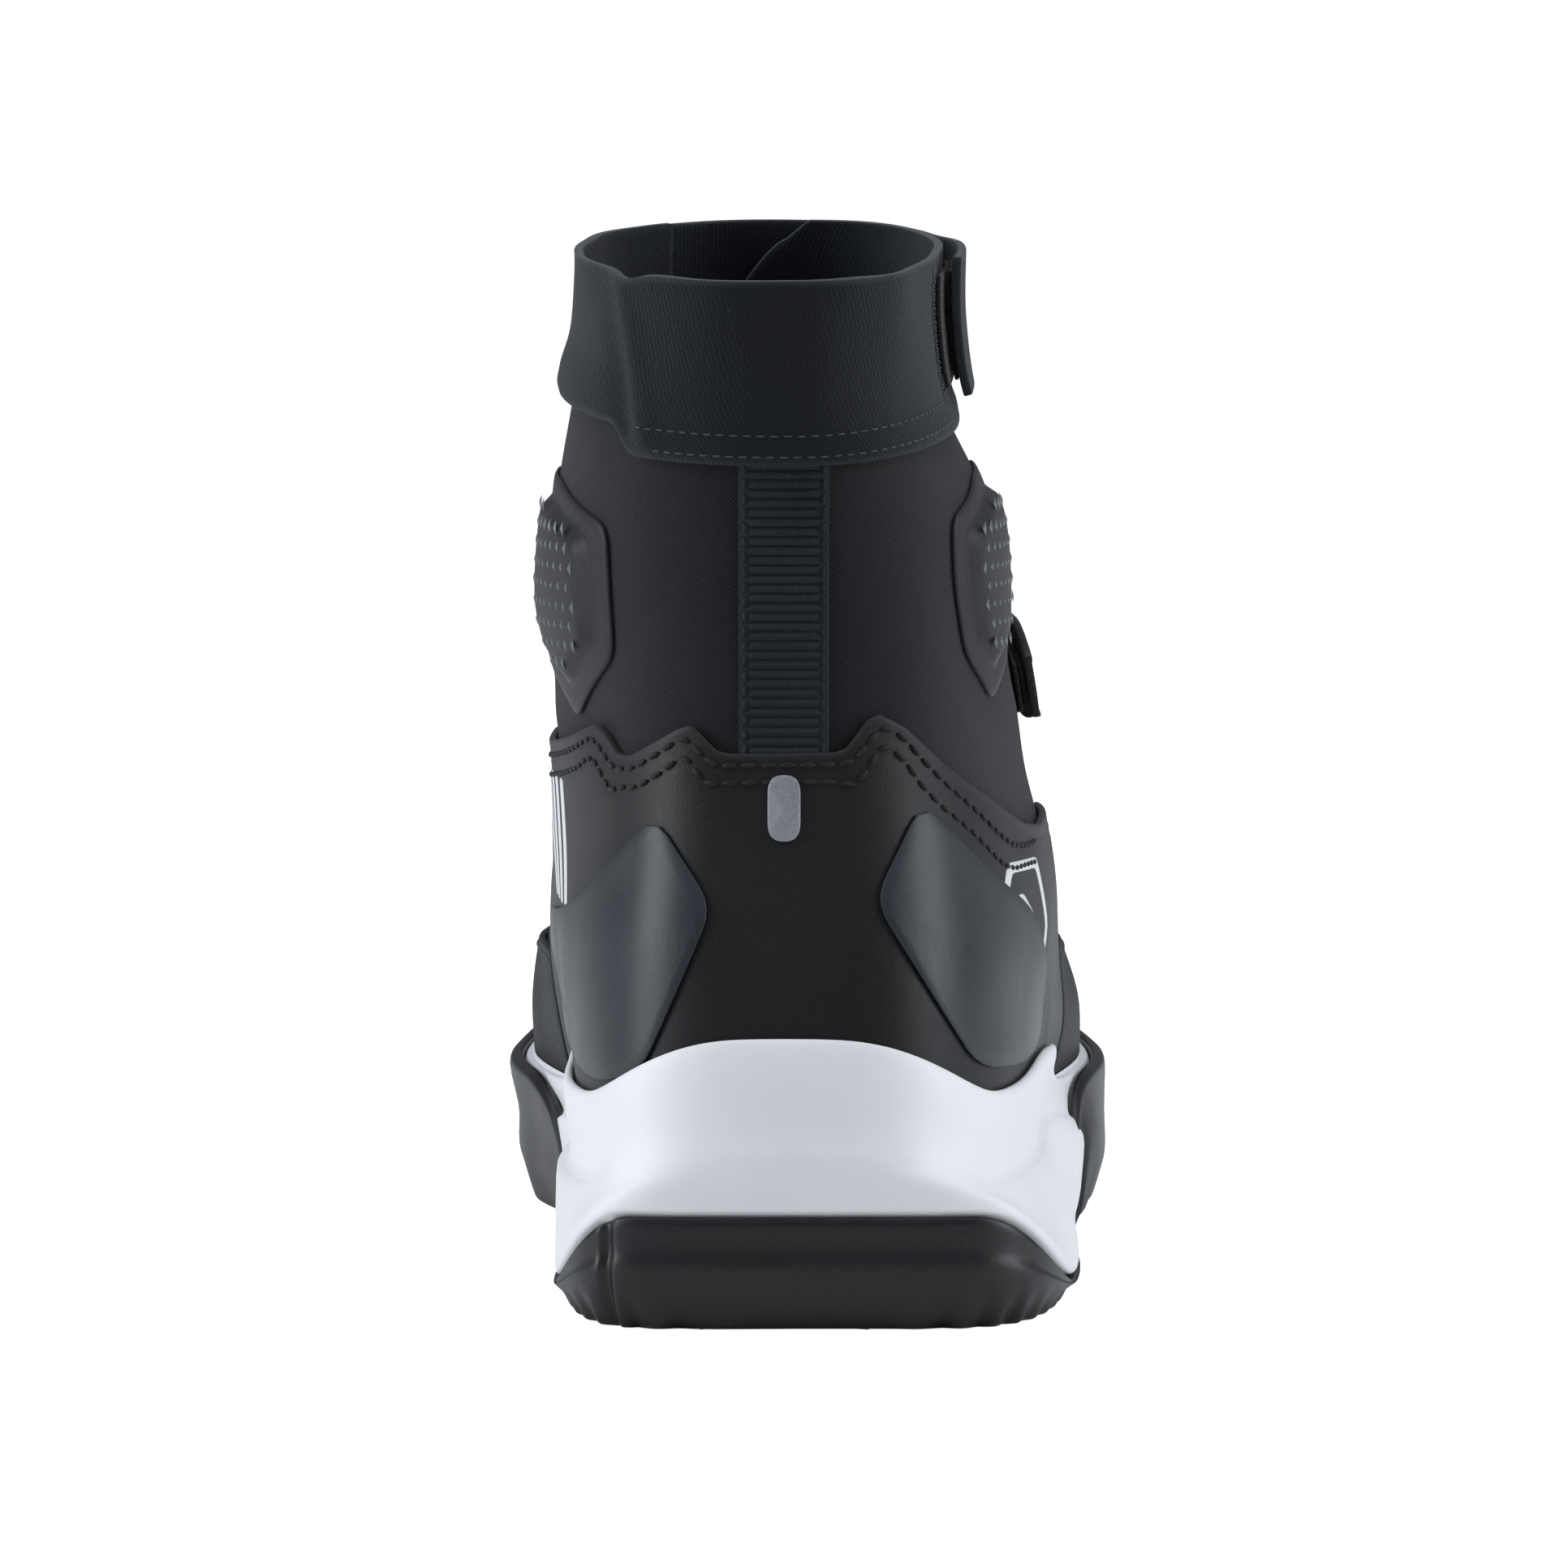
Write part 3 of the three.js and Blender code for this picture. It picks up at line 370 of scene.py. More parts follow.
class Paint:
    """One material under construction."""

    def __init__(self, name: str) -> None:
        """Starts an empty material.

        Args:
            name: the material's name.
        """
        self.material = bpy.data.materials.new(name)
        self.material.use_nodes = True
        self.tree = self.material.node_tree
        self.tree.nodes.clear()

    def node(
        self, kind: str, settings: dict | None = None, inputs: dict | None = None, out: int | str = 0
    ) -> Wire:
        """Adds a node.

        Args:
            kind: the node's type.
            settings: its own settings, set before its sockets.
            inputs: values or wires by socket name or number.
            out: the output wanted.

        Returns:
            The output as a wire, or a wire to nothing for a node that has no outputs.
        """
        made = self.tree.nodes.new(kind)
        for key, value in (settings or {}).items():
            setattr(made, key, value)
        for key, value in (inputs or {}).items():
            if isinstance(value, Wire):
                self.tree.links.new(value.socket, made.inputs[key])
            else:
                made.inputs[key].default_value = value
        return Wire(self, made.outputs[out] if len(made.outputs) else None)

    def surface(self, follows_cloth: bool) -> Wire:
        """The pattern's coordinates, in metres: along the cloth, or in the object's own space.

        Args:
            follows_cloth: whether the pattern follows the cloth.

        Returns:
            The coordinates.
        """
        if follows_cloth:
            return self.node("ShaderNodeUVMap", {"uv_map": "cloth"})
        return self.node("ShaderNodeTexCoord", out="Object")

    def stretched(self, vector: Wire, scale: tuple[float, float, float]) -> Wire:
        """Coordinates scaled along each axis."""
        return self.node("ShaderNodeMapping", {}, {"Vector": vector, "Scale": scale})

    def noise(self, vector: Wire, scale: float, detail: float = 3.0) -> Wire:
        """Noise from 0 to 1 with scale features a metre."""
        return self.node("ShaderNodeTexNoise", {}, {"Vector": vector, "Scale": scale, "Detail": detail})

    def cells(self, vector: Wire, scale: float, feature: str = "F1") -> Wire:
        """Distance to the middle or the edge of random cells."""
        place = {"Vector": vector, "Scale": scale}
        return self.node("ShaderNodeTexVoronoi", {"feature": feature}, place, "Distance")

    def apart(self, vector: Wire) -> tuple[Wire, Wire, Wire]:
        """The three parts of a vector."""
        split = self.node("ShaderNodeSeparateXYZ", {}, {0: vector}).socket.node
        return tuple(Wire(self, split.outputs[n]) for n in range(3))

    def blend(self, share: Wire, first: "Wire | Colour", second: "Wire | Colour") -> Wire:
        """A colour between two colours."""
        return self.node("ShaderNodeMix", {"data_type": "RGBA"}, {0: share, 6: first, 7: second}, 2)


def dye(code: int, gain: float = 1.0) -> Colour:
    """A colour code such as 0x2b2a2e as linear values."""
    parts = ((code >> step & 255) / 255 for step in (16, 8, 0))
    return (*(gain * (p / 12.92 if p < 0.0404 else ((p + 0.055) / 1.055) ** 2.4) for p in parts), 1.0)


class Weave(Enum):
    """The surface structure of a finish."""

    TWILL = "twill"
    KNIT = "knit"
    PILE = "pile"
    RIBS = "ribs"
    BRAID = "braid"
    MESH = "mesh"
    HEX = "hex"
    GRAIN = "grain"
    BEADS = "beads"
    FOAM = "foam"
    RUBBER = "rubber"
    FIBRE = "fibre"
    BRUSHED = "brushed"


@dataclass(frozen=True)
class Finish:
    """One finish: its colours, structure and gloss. Pitch and depth are in millimetres."""

    name: str
    weave: Weave
    base: int
    light: int
    rough: float = 0.8
    pitch: float = 1.0
    depth: float = 0.1
    sheen: float = 0.0
    coat: float = 0.0
    metal: float = 0.0
    wear: float = 0.25
    gloss: float = 0.3
    cloth: bool = True

    def structure(self, paint: Paint, vector: Wire) -> tuple[Wire, Wire]:
        """The finish's pattern.

        Args:
            paint: the material under construction.
            vector: the pattern's coordinates in metres.

        Returns:
            The share of the light colour, and the height for the bump, both from 0 to 1.
        """
        u, v, _ = paint.apart(vector)
        p = self.pitch * MM
        fine = paint.noise(vector, 1.4 / p, 2)
        if self.weave is Weave.TWILL:
            rows = ((u + v * 0.8) / p).wave()
            yarn = ((u * 0.6 - v) / (0.7 * p)).wave()
            return rows * 0.45 + fine * 0.55, rows * (yarn * 0.5 + 0.5)
        if self.weave is Weave.KNIT:
            rib = (u / p + fine * 0.5).wave()
            speck = paint.cells(vector, 1.6 / p)
            return fine * 0.7 + speck * 0.3, rib * 0.25 + fine * 0.5 + speck * 0.4
        if self.weave is Weave.PILE:
            tuft = paint.cells(paint.stretched(vector, (1, 0.7, 1)), 1 / p)
            return tuft * 0.8 + fine * 0.2, tuft + fine
        if self.weave is Weave.RIBS:
            thread = (u / p).wave()
            return thread * 0.3 + fine * 0.7, thread * 0.7 + fine * 0.3
        if self.weave is Weave.BRAID:
            left, right = ((u + v) / p).wave(), ((u - v) / p).wave()
            return left.peak(right) * 0.6 + fine * 0.4, left.peak(right)
        if self.weave is Weave.MESH:
            holes = (u / p).wave() * (v / p).wave()
            return holes * 0.7 + fine * 0.3, 1 - holes
        if self.weave is Weave.HEX:
            k = 1 / p
            ways = [(1.0, 0.0), (0.5, 0.866), (0.5, -0.866)]
            cells = sum(((u * (a * k) + v * (b * k)).wave() for a, b in ways[1:]), (u * k).wave())
            return cells.ramp(1.0, 1.9) * 0.8 + fine * 0.2, cells.ramp(0.9, 1.7)
        if self.weave is Weave.BEADS:
            bead = paint.cells(vector, 1 / p)
            return bead, bead
        if self.weave is Weave.RUBBER:
            pits = paint.cells(vector, 0.8 / p)
            return fine * 0.8 + pits * 0.2, fine + pits * 0.4
        if self.weave is Weave.FIBRE:
            strands = paint.noise(paint.stretched(vector, (1, 0.15, 1)), 2 / p, 4)
            return strands, strands + fine
        if self.weave is Weave.BRUSHED:
            lines = paint.noise(paint.stretched(vector, (1, 0.03, 1)), 4 / p, 2)
            return lines, lines
        if self.weave is Weave.FOAM:
            skin = paint.cells(vector, 1.2 / p)
            return paint.noise(vector, 40, 2), skin * 0.5 + fine * 0.5
        creases = paint.cells(vector, 0.9 / p, "DISTANCE_TO_EDGE").ramp(0.0, 0.25)
        return fine * 0.6 + creases * 0.4, creases * 0.6 + fine * 0.4

    def material(self) -> bpy.types.Material:
        """Builds the finish's material."""
        paint = Paint(self.name)
        vector = paint.surface(self.cloth)
        share, height = self.structure(paint, vector)
        solid = paint.node("ShaderNodeTexCoord", out="Object")
        patch = paint.noise(solid, 28, 3).ramp(0.3, 0.7)
        dust = paint.noise(solid, 900, 1).ramp(0.68, 0.78)
        colour = paint.blend(share * 0.6 + patch * 0.4, dye(self.base), dye(self.light))
        rim = paint.node("ShaderNodeAttribute", {"attribute_name": "rim"}, {}, "Fac")
        worn = rim * self.wear + dust * 0.1
        rubbed = tuple(min(1, 1.6 * c + 0.05) for c in dye(self.light)[:3])
        colour = paint.blend(worn, colour, (*rubbed, 1.0))
        rough = (patch * 0.12 + share * 0.08 + (self.rough - 0.1)) + rim * 0.05
        bump = paint.node(
            "ShaderNodeBump", {}, {"Height": height, "Distance": self.depth * MM, "Strength": 1.0}
        )
        shader = paint.node(
            "ShaderNodeBsdfPrincipled",
            {},
            {
                "Base Color": colour,
                "Roughness": rough,
                "Metallic": self.metal,
                "Specular IOR Level": self.gloss,
                "Sheen Weight": self.sheen,
                "Sheen Roughness": 0.45,
                "Coat Weight": self.coat,
                "Coat Roughness": 0.3,
                "Normal": bump,
            },
        )
        paint.node("ShaderNodeOutputMaterial", {}, {"Surface": shader})
        return paint.material


FINISHES = {
    finish.name: finish
    for finish in (
        Finish("softshell", Weave.TWILL, 0x0a0a0e, 0x1b1a20, 0.85, 0.75, 0.10, 0.16, wear=0.2),
        Finish("microfibre", Weave.GRAIN, 0x0b0b0d, 0x17171b, 0.5, 0.5, 0.025, 0.1, wear=0.25),
        Finish("grey_film", Weave.GRAIN, 0x26292f, 0x35383f, 0.4, 0.4, 0.012, 0.0, 0.1, wear=0.12),
        Finish("reflective", Weave.BEADS, 0x72777c, 0xa2a6a9, 0.42, 0.35, 0.06, metal=0.25, wear=0.5),
        Finish("webbing", Weave.RIBS, 0x030507, 0x262f36, 0.8, 0.55, 0.08, 0.08, wear=0.1),
        Finish("guard", Weave.GRAIN, 0x121215, 0x1e1e22, 0.48, 0.7, 0.02, 0.1, wear=0.35),
        Finish("webbing_plain", Weave.RIBS, 0x0a0b0c, 0x1c1d20, 0.7, 0.7, 0.12, 0.2, wear=0.15),
        Finish("spring_steel_coated", Weave.BRUSHED, 0x1a1b1d, 0x3c3e41, 0.4, 0.6, 0.01, metal=0.8),
        Finish("knit", Weave.KNIT, 0x05070b, 0x1b2027, 0.95, 0.9, 0.22, 0.14, wear=0.3),
        Finish("hook_tape", Weave.PILE, 0x08080a, 0x242428, 0.8, 0.6, 0.35, 0.2, wear=0.1),
        Finish("lining", Weave.MESH, 0x08090a, 0x1a1c1f, 0.9, 1.3, 0.25, 0.3),
        Finish("padding", Weave.PILE, 0x3a3a3d, 0x5a5a5e, 0.95, 0.8, 0.2),
        Finish("white_foam", Weave.FOAM, 0xeaeaee, 0xf6f6f8, 0.42, 0.5, 0.02, wear=0.0),
        Finish("rubber", Weave.RUBBER, 0x050608, 0x101217, 0.38, 0.45, 0.03, wear=0.2, gloss=0.45),
        Finish("hex_rubber", Weave.HEX, 0x08090c, 0x1a1c21, 0.55, 1.7, 0.25, wear=0.3),
        Finish("fibre_board", Weave.FIBRE, 0x6f6557, 0x9c8f7c, 0.9, 0.8, 0.1, cloth=False),
        Finish("stiff_sheet", Weave.FIBRE, 0xb0ada4, 0xdedbd2, 0.7, 1.2, 0.05, cloth=False),
        Finish("spring_steel", Weave.BRUSHED, 0x8e9093, 0xc9cbce, 0.35, 0.6, 0.01, metal=1.0, cloth=False),
        Finish("braid", Weave.BRAID, 0x0c0d0f, 0x2c2e33, 0.75, 0.9, 0.2, 0.2),
        Finish("thread", Weave.BRAID, 0x040405, 0x121215, 0.55, 0.5, 0.05, 0.1, cloth=False),
        Finish("pale_thread", Weave.BRAID, 0x2c2f36, 0x4c5058, 0.7, 0.5, 0.05, 0.2, cloth=False),
        Finish("print_white", Weave.GRAIN, 0xd9dbe0, 0xf4f4f6, 0.35, 0.5, 0.01, wear=0.0),
        Finish("glint", Weave.GRAIN, 0x505256, 0x74767a, 0.3, 0.5, 0.01, 0.0, 0.3, cloth=False),
    )
}


# ---------------------------------------------------------------- making pieces


@dataclass
class Assembly:
    """What every sub-assembly of the boot shares: the last, the materials and the ways to make a piece."""

    last: Last
    dyes: dict[str, bpy.types.Material]

    def settle(self, obj: bpy.types.Object, body: str, slot: str, *nodes: str) -> None:
        """Puts a piece on its body and hides the CAD nodes that it stands for.

        Args:
            obj: the piece.
            body: the body that it rides on.
            slot: its material slot; not used.
            nodes: the plain parts that it stands for.
        """
        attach(obj, body)
        if nodes:
            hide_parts(*nodes)
        LOG.info("%s: %d faces on %s", obj.name, len(obj.data.polygons), body)

    def dress(self, node: str, finish: str) -> None:
        """Gives a part that keeps its shape a finish."""
        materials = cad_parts[node].data.materials
        materials.clear()
        materials.append(self.dyes[finish])

    def finish_mesh(self, name: str, bm: bmesh.types.BMesh, finish: str) -> bpy.types.Object:
        """Turns a bmesh into a smooth object with its finish.

        Args:
            name: the piece's name.
            bm: the mesh under construction, which is freed.
            finish: the finish's name.

        Returns:
            The piece.
        """
        mesh = bpy.data.meshes.new(name)
        bm.to_mesh(mesh)
        bm.free()
        mesh.shade_smooth()
        mesh.materials.append(self.dyes[finish])
        obj = bpy.data.objects.new(name, mesh)
        bpy.context.scene.collection.objects.link(obj)
        return obj

    def net(
        self,
        name: str,
        columns: int,
        rows: int,
        shape: Callable[[Array, Array], Array],
        finish: str,
        closed: bool = False,
    ) -> bpy.types.Object:
        """A grid laid over a shape, with cloth coordinates in metres and a measure of its rim.

        Args:
            name: the piece's name.
            columns: faces along u.
            rows: faces along v.
            shape: gives the points, on the last, for arrays of u and v from 0 to 1.
            finish: the finish's name.
            closed: whether the edges meet and the net is a closed body.

        Returns:
            The piece.
        """
        bm = bmesh.new()
        bmesh.ops.create_grid(bm, x_segments=columns, y_segments=rows, size=0.5)
        at = np.array([vert.co[:2] for vert in bm.verts]) + 0.5
        points = shape(at[:, 0], at[:, 1])
        i, j = np.rint(at * (columns, rows)).astype(int).T
        table = np.zeros((rows + 1, columns + 1, 3))
        table[j, i] = points
        across = np.pad(np.linalg.norm(np.diff(table, axis=1), axis=2).cumsum(1), ((0, 0), (1, 0)))
        up = np.pad(np.linalg.norm(np.diff(table, axis=0), axis=2).cumsum(0), ((1, 0), (0, 0)))
        edge = np.minimum(np.minimum(across, across[:, -1:] - across), np.minimum(up, up[-1:] - up))
        cloth = (np.stack([across - across[:, columns // 2][:, None], up], -1) * MM)[j, i]
        rim = (1 - ease(edge, 0.2, 1.3))[j, i] * (not closed)
        uv, worn = bm.loops.layers.uv.new("cloth"), bm.verts.layers.float.new("rim")
        bm.verts.index_update()
        for vert, point, share in zip(bm.verts, self.last.place(points), rim):
            vert.co = point
            vert[worn] = share
        for face in bm.faces:
            for loop in face.loops:
                loop[uv].uv = cloth[loop.vert.index]
        if closed:
            bmesh.ops.remove_doubles(bm, verts=bm.verts, dist=1e-6)
            bmesh.ops.recalc_face_normals(bm, faces=bm.faces)
        return self.finish_mesh(name, bm, finish)

    def sheet(
        self,
        name: str,
        columns: int,
        rows: int,
        where: Callable[[Array, Array], tuple[Array, Array, Array]],
        wall: float,
        finish: str,
        soften: float = 0.25,
    ) -> bpy.types.Object:
        """A layer of the upper with a thickness and softened edges.

        Args:
            name: the piece's name.
            columns: faces along u.
            rows: faces along v.
            where: gives angle, level and the height of the outer face for arrays of u and v.
            wall: the thickness, inwards from the outer face.
            finish: the finish's name.
            soften: the radius of its edges.

        Returns:
            The piece.
        """
        obj = self.net(name, columns, rows, lambda u, v: self.last.off(*where(u, v)), finish)
        half = np.array([0.5]), np.array([0.5])
        angle, level, _ = where(*half)
        mid = len(obj.data.polygons) // 2 + columns // 2
        facing = Vector(self.last.outward(angle, level)[0])
        mid_normal = obj.data.polygons[min(mid, len(obj.data.polygons) - 1)].normal
        if mid_normal.dot(facing) < 0:
            obj.data.flip_normals()
        solid = obj.modifiers.new("wall", "SOLIDIFY")
        solid.thickness, solid.offset = wall * MM, -1
        if soften:
            bevel = obj.modifiers.new("edge", "BEVEL")
            bevel.width, bevel.segments = min(soften, 0.45 * wall) * MM, 2
            bevel.limit_method, bevel.angle_limit = "ANGLE", math.radians(50)
        return obj

    def turned(
        self,
        name: str,
        count: int,
        stations: Sequence[Ring],
        finish: str,
    ) -> bpy.types.Object:
        """A smooth closed body of rings round the foot.

        Args:
            name: the piece's name.
            count: faces round the foot.
            stations: the rings in order, each giving its points for an array of angles.
            finish: the finish's name.

        Returns:
            The piece.
        """

        def shape(u: Array, v: Array) -> Array:
            """Each point comes from its row's station."""
            angle = 2 * math.pi * u - 0.25 * np.sin(4 * math.pi * u)
            row = np.rint(v * (len(stations) - 1)).astype(int)
            points = np.zeros((len(u), 3))
            for k, station in enumerate(stations):
                points[row == k] = station(angle[row == k])
            return points

        obj = self.net(name, count, len(stations) - 1, shape, finish, closed=True)
        smooth = obj.modifiers.new("smooth", "SUBSURF")
        smooth.levels = smooth.render_levels = 1
        return obj

    def patch(
        self,
        name: str,
        chart: Callable[[Array, Array], tuple[Array, Array]],
        outline: Array,
        profile: Sequence[Pair],
        finish: str,
    ) -> bpy.types.Object:
        """A closed plate on the upper with an outline and a stepped profile.

        Args:
            name: the piece's name.
            chart: turns the outline's two coordinates into angle and level.
            outline: the outline's points.
            profile: from the middle of the top over the rim to the middle of the back, pairs of the
                share of the way out and the height.
            finish: the finish's name.

        Returns:
            The piece.
        """
        count, middle = len(outline), outline.mean(0)
        steps = np.array(profile)

        def shape(u: Array, v: Array) -> Array:
            """Scales the outline and lifts it off the last."""
            row = np.rint(v * (len(steps) - 1)).astype(int)
            ring = outline[np.rint(u * count).astype(int) % count]
            flat = middle + (ring - middle) * steps[row, 0][:, None]
            return self.last.off(*chart(flat[:, 0], flat[:, 1]), steps[row, 1])

        return self.net(name, count, len(steps) - 1, shape, finish, closed=True)

    def tube(self, name: str, path: Array, radius: float, sides: int, finish: str) -> bpy.types.Object:
        """A round cord with closed ends along a path on the last.

        Args:
            name: the piece's name.
            path: the points that it runs through.
            radius: half the cord's thickness.
            sides: faces round the cord.
            finish: the finish's name.

        Returns:
            The piece.
        """
        ahead = unit(np.gradient(path, axis=0))
        normals = [unit(np.cross(ahead[0], [0.1, 0.2, 1.0]))]
        for way in ahead[1:]:
            normals.append(unit(normals[-1] - way * np.dot(normals[-1], way)))
        side = np.array(normals)
        over = np.cross(ahead, side)
        rows = len(path) + 1

        def shape(u: Array, v: Array) -> Array:
            """Rings round the path, with a point at each end."""
            row = np.rint(v * rows).astype(int)
            at = np.clip(row - 1, 0, len(path) - 1)
            wide = np.where((row == 0) | (row == rows), 0.0, radius)[:, None]
            turn = (2 * math.pi * u)[:, None]
            return path[at] + wide * (side[at] * np.cos(turn) + over[at] * np.sin(turn))

        return self.net(name, sides, rows, shape, finish, closed=True)

    def sew(
        self,
        name: str,
        angle: Array,
        level: Array,
        height: Array,
        thread: str,
        pitch: float,
        start: float,
        reach: float,
        size: Sequence[float],
        body: str,
    ) -> None:
        """Sews a row of stitches along a line on the upper.

        Args:
            name: the row's name.
            angle: the line's angles.
            level: the line's levels.
            height: how far the line stands off the last.
            thread: the thread's finish.
            pitch: the distance between stitches.
            start: the distance from the line's end to the first stitch.
            reach: how far ahead and behind the line's direction is taken.
            size: a stitch's half length, half width and half height.
            body: the body that the row rides on.
        """
        line, ups = self.last.off(angle, level, height), self.last.outward(angle, level)
        run = np.concatenate([[0], np.linalg.norm(np.diff(line, axis=0), axis=1).cumsum()])

        def at(way: float, table: Array) -> Array:
            """A row of the table at a distance along the line."""
            return np.array([np.interp(way, run, table[:, k]) for k in range(3)])

        bm = bmesh.new()
        scale = Matrix.Diagonal((*(part * MM for part in size), 1))
        for way in np.arange(start, run[-1] - start, pitch):
            up = Vector(at(way, ups)).normalized()
            ahead = Vector(at(way + reach, line) - at(way - reach, line)).normalized()
            turn = Matrix((ahead, up.cross(ahead).normalized(), up)).transposed().to_4x4()
            spot = Matrix.Translation(self.last.place(at(way, line)))
            bmesh.ops.create_uvsphere(bm, u_segments=8, v_segments=5, radius=1, matrix=spot @ turn @ scale)
        self.settle(self.finish_mesh(name, bm, thread), body, "cord")

    def stitches(
        self,
        name: str,
        angle: Array,
        level: Array,
        height: float,
        thread: str,
        pitch: float = 2.4,
        thick: float = 0.32,
        body: str = "boot",
    ) -> None:
        """Sews a row of even stitches at one height over the last.

        Args:
            name: the row's name.
            angle: the line's angles.
            level: the line's levels.
            height: how far the line stands off the last.
            thread: the thread's finish.
            pitch: the distance between stitches.
            thick: half the thread's thickness.
            body: the body that the row rides on.
        """
        heights, size = np.full(np.shape(angle), height), (0.42 * pitch, thick, 0.8 * thick)
        self.sew(name, angle, level, heights, thread, pitch, pitch / 2, 0.4, size, body)


# ---------------------------------------------------------------- the sole


@dataclass
class SoleUnit(Assembly):
    """Rubber outsole with its tread, white midsole, inner board, steel shank and footbed."""

    length: float = 300.0
    lug_depth: float = 3.5
    plate: float = 3.0
    heel_rubber: float = 19.4
    side_rubber: float = 4.0
    rand: float = 27.0
    heel_cup: float = 49.0
    side_cup: float = 38.0
    rubber_wall: float = 2.4
    cup_gap: float = 2.0
    lip: float = 1.4
    clear: float = 0.35
    medial: tuple[float, ...] = (47.6, 37.5, 52.3, 49)
    lateral: tuple[float, ...] = (58.5, 53, 62.6, 56)

    @staticmethod
    def share(angle: Array) -> Array:
        """How far along the foot an angle is, from 0 to 1."""
        return (1 - np.cos(angle)) / 2

    def front(self, angle: Array) -> Array:
        """0 where the midsole shows and 1 where the rubber rand hides it."""
        return ease(self.share(angle), 0.44, 0.56)

    def rubber_top(self, angle: Array) -> Array:
        """The height of the rubber's upper edge.

        Args:
            angle: angles round the foot.

        Returns:
            The heights.
        """
        turn = np.abs(np.arctan2(np.sin(angle), np.cos(angle)))
        heel = (self.heel_rubber - self.side_rubber) * (1 - ease(turn, 0.14, 0.76))
        return self.side_rubber + heel + (self.rand - self.side_rubber) * self.front(angle)

    def cup_top(self, angle: Array) -> Array:
        """The height of the midsole's upper edge, with the small wings beside the heel.

        Args:
            angle: angles round the foot.

        Returns:
            The heights.
        """
        turn = np.abs(np.arctan2(np.sin(angle), np.cos(angle)))
        heel = mix(self.heel_cup, self.side_cup, ease(turn, 0, math.radians(34)))
        wing = 2.4 * bell(turn, math.radians(58), 0.16) * (np.sin(angle) > 0)
        return mix(heel, 26.4, ease(self.share(angle), 0.36, 0.52)) + wing

    def footprint(self, angle: Array, inset: Array, z: Array) -> Array:
        """The sole's widest outline moved inwards, at height z over the rising ground line.

        Args:
            angle: angles round the foot.
            inset: how far inside the widest outline.
            z: heights over the ground line.

        Returns:
            The points.
        """

        def flat(a: Array) -> Array:
            """The outline in plan."""
            share, turn = self.share(a), np.sin(a)
            widths = np.where((turn >= 0)[..., None], self.lateral, self.medial)
            blunt = mix(0.31, 0.72, ease(share, 0.1, 0.8))
            x = np.sign(turn) * self.last.along(widths, share) * np.abs(turn) ** blunt
            return np.stack([x, share * self.length], -1)

        way, point = unit(flat(angle + 0.02) - flat(angle - 0.02)), flat(angle)
        x, y = point[..., 0] - way[..., 1] * inset, point[..., 1] + way[..., 0] * inset
        return np.stack([x, y, z + self.last.spring(y)], -1)

    def under(self, angle: Array, share: float, inset: float, z: float) -> Array:
        """Points under the sole, drawn in towards its middle.

        Args:
            angle: angles round the foot.
            share: how far out from the sole's middle, from 0 to 1.
            inset: how far inside the widest outline.
            z: the height over the ground line.

        Returns:
            The points.
        """
        edge = self.footprint(angle, inset, 0)
        y = mix(self.length / 2, edge[..., 1], share)
        return np.stack([edge[..., 0] * share, y, z + self.last.spring(y)], -1)

    def bed(self, angle: Array, share: float, distance: float, z: Array) -> Array:
        """Points of the inner sole's outline, drawn in towards its middle.

        Args:
            angle: angles round the foot.
            share: how far out from the sole's middle, from 0 to 1.
            distance: how far outside the feather line.
            z: heights over the inner sole.

        Returns:
            The points.
        """
        edge = self.last.off(angle, np.zeros(angle.shape), np.full(angle.shape, distance))
        y = mix(149.0, edge[..., 1], share)
        return np.stack([edge[..., 0] * share, y, 24 + z + self.last.spring(y)], -1)

    def between(self, angle: Array, back: Array, front: Array) -> Array:
        """One shape at the heel and another at the toe."""
        return mix(back, front, self.front(angle)[..., None])

    def make_midsole(self) -> None:
        """The white cup: a scooped upper band over a fuller lower one, with a crisp upper lip."""
        plate_top = self.lug_depth + self.plate + self.clear

        def wall(lift: float, out: float, inset: float) -> Ring:
            """A ring a share of the way up the cup."""

            def ring(a: Array) -> Array:
                """The ring's points."""
                low, high = self.rubber_top(a) + 0.6, self.cup_top(a)
                level = self.last.level_over(a, mix(low, high, lift))
                back = self.last.off(a, level, self.cup_gap + out)
                return self.between(a, back, self.footprint(a, 3 + inset, 14 + 6 * lift))

            return ring

        def lip(down: float, out: float) -> Ring:
            """A ring just under the upper edge."""
            return lambda a: self.last.off(
                a, self.last.level_over(a, self.cup_top(a) - down), self.cup_gap + out
            )

        def skirt(z: float, inset: float) -> Ring:
            """A ring over the rubber."""
            return lambda a: self.footprint(
                a, mix(inset, inset + 2.0, self.front(a)), mix(self.rubber_top(a) + z, 12 + z, self.front(a))
            )

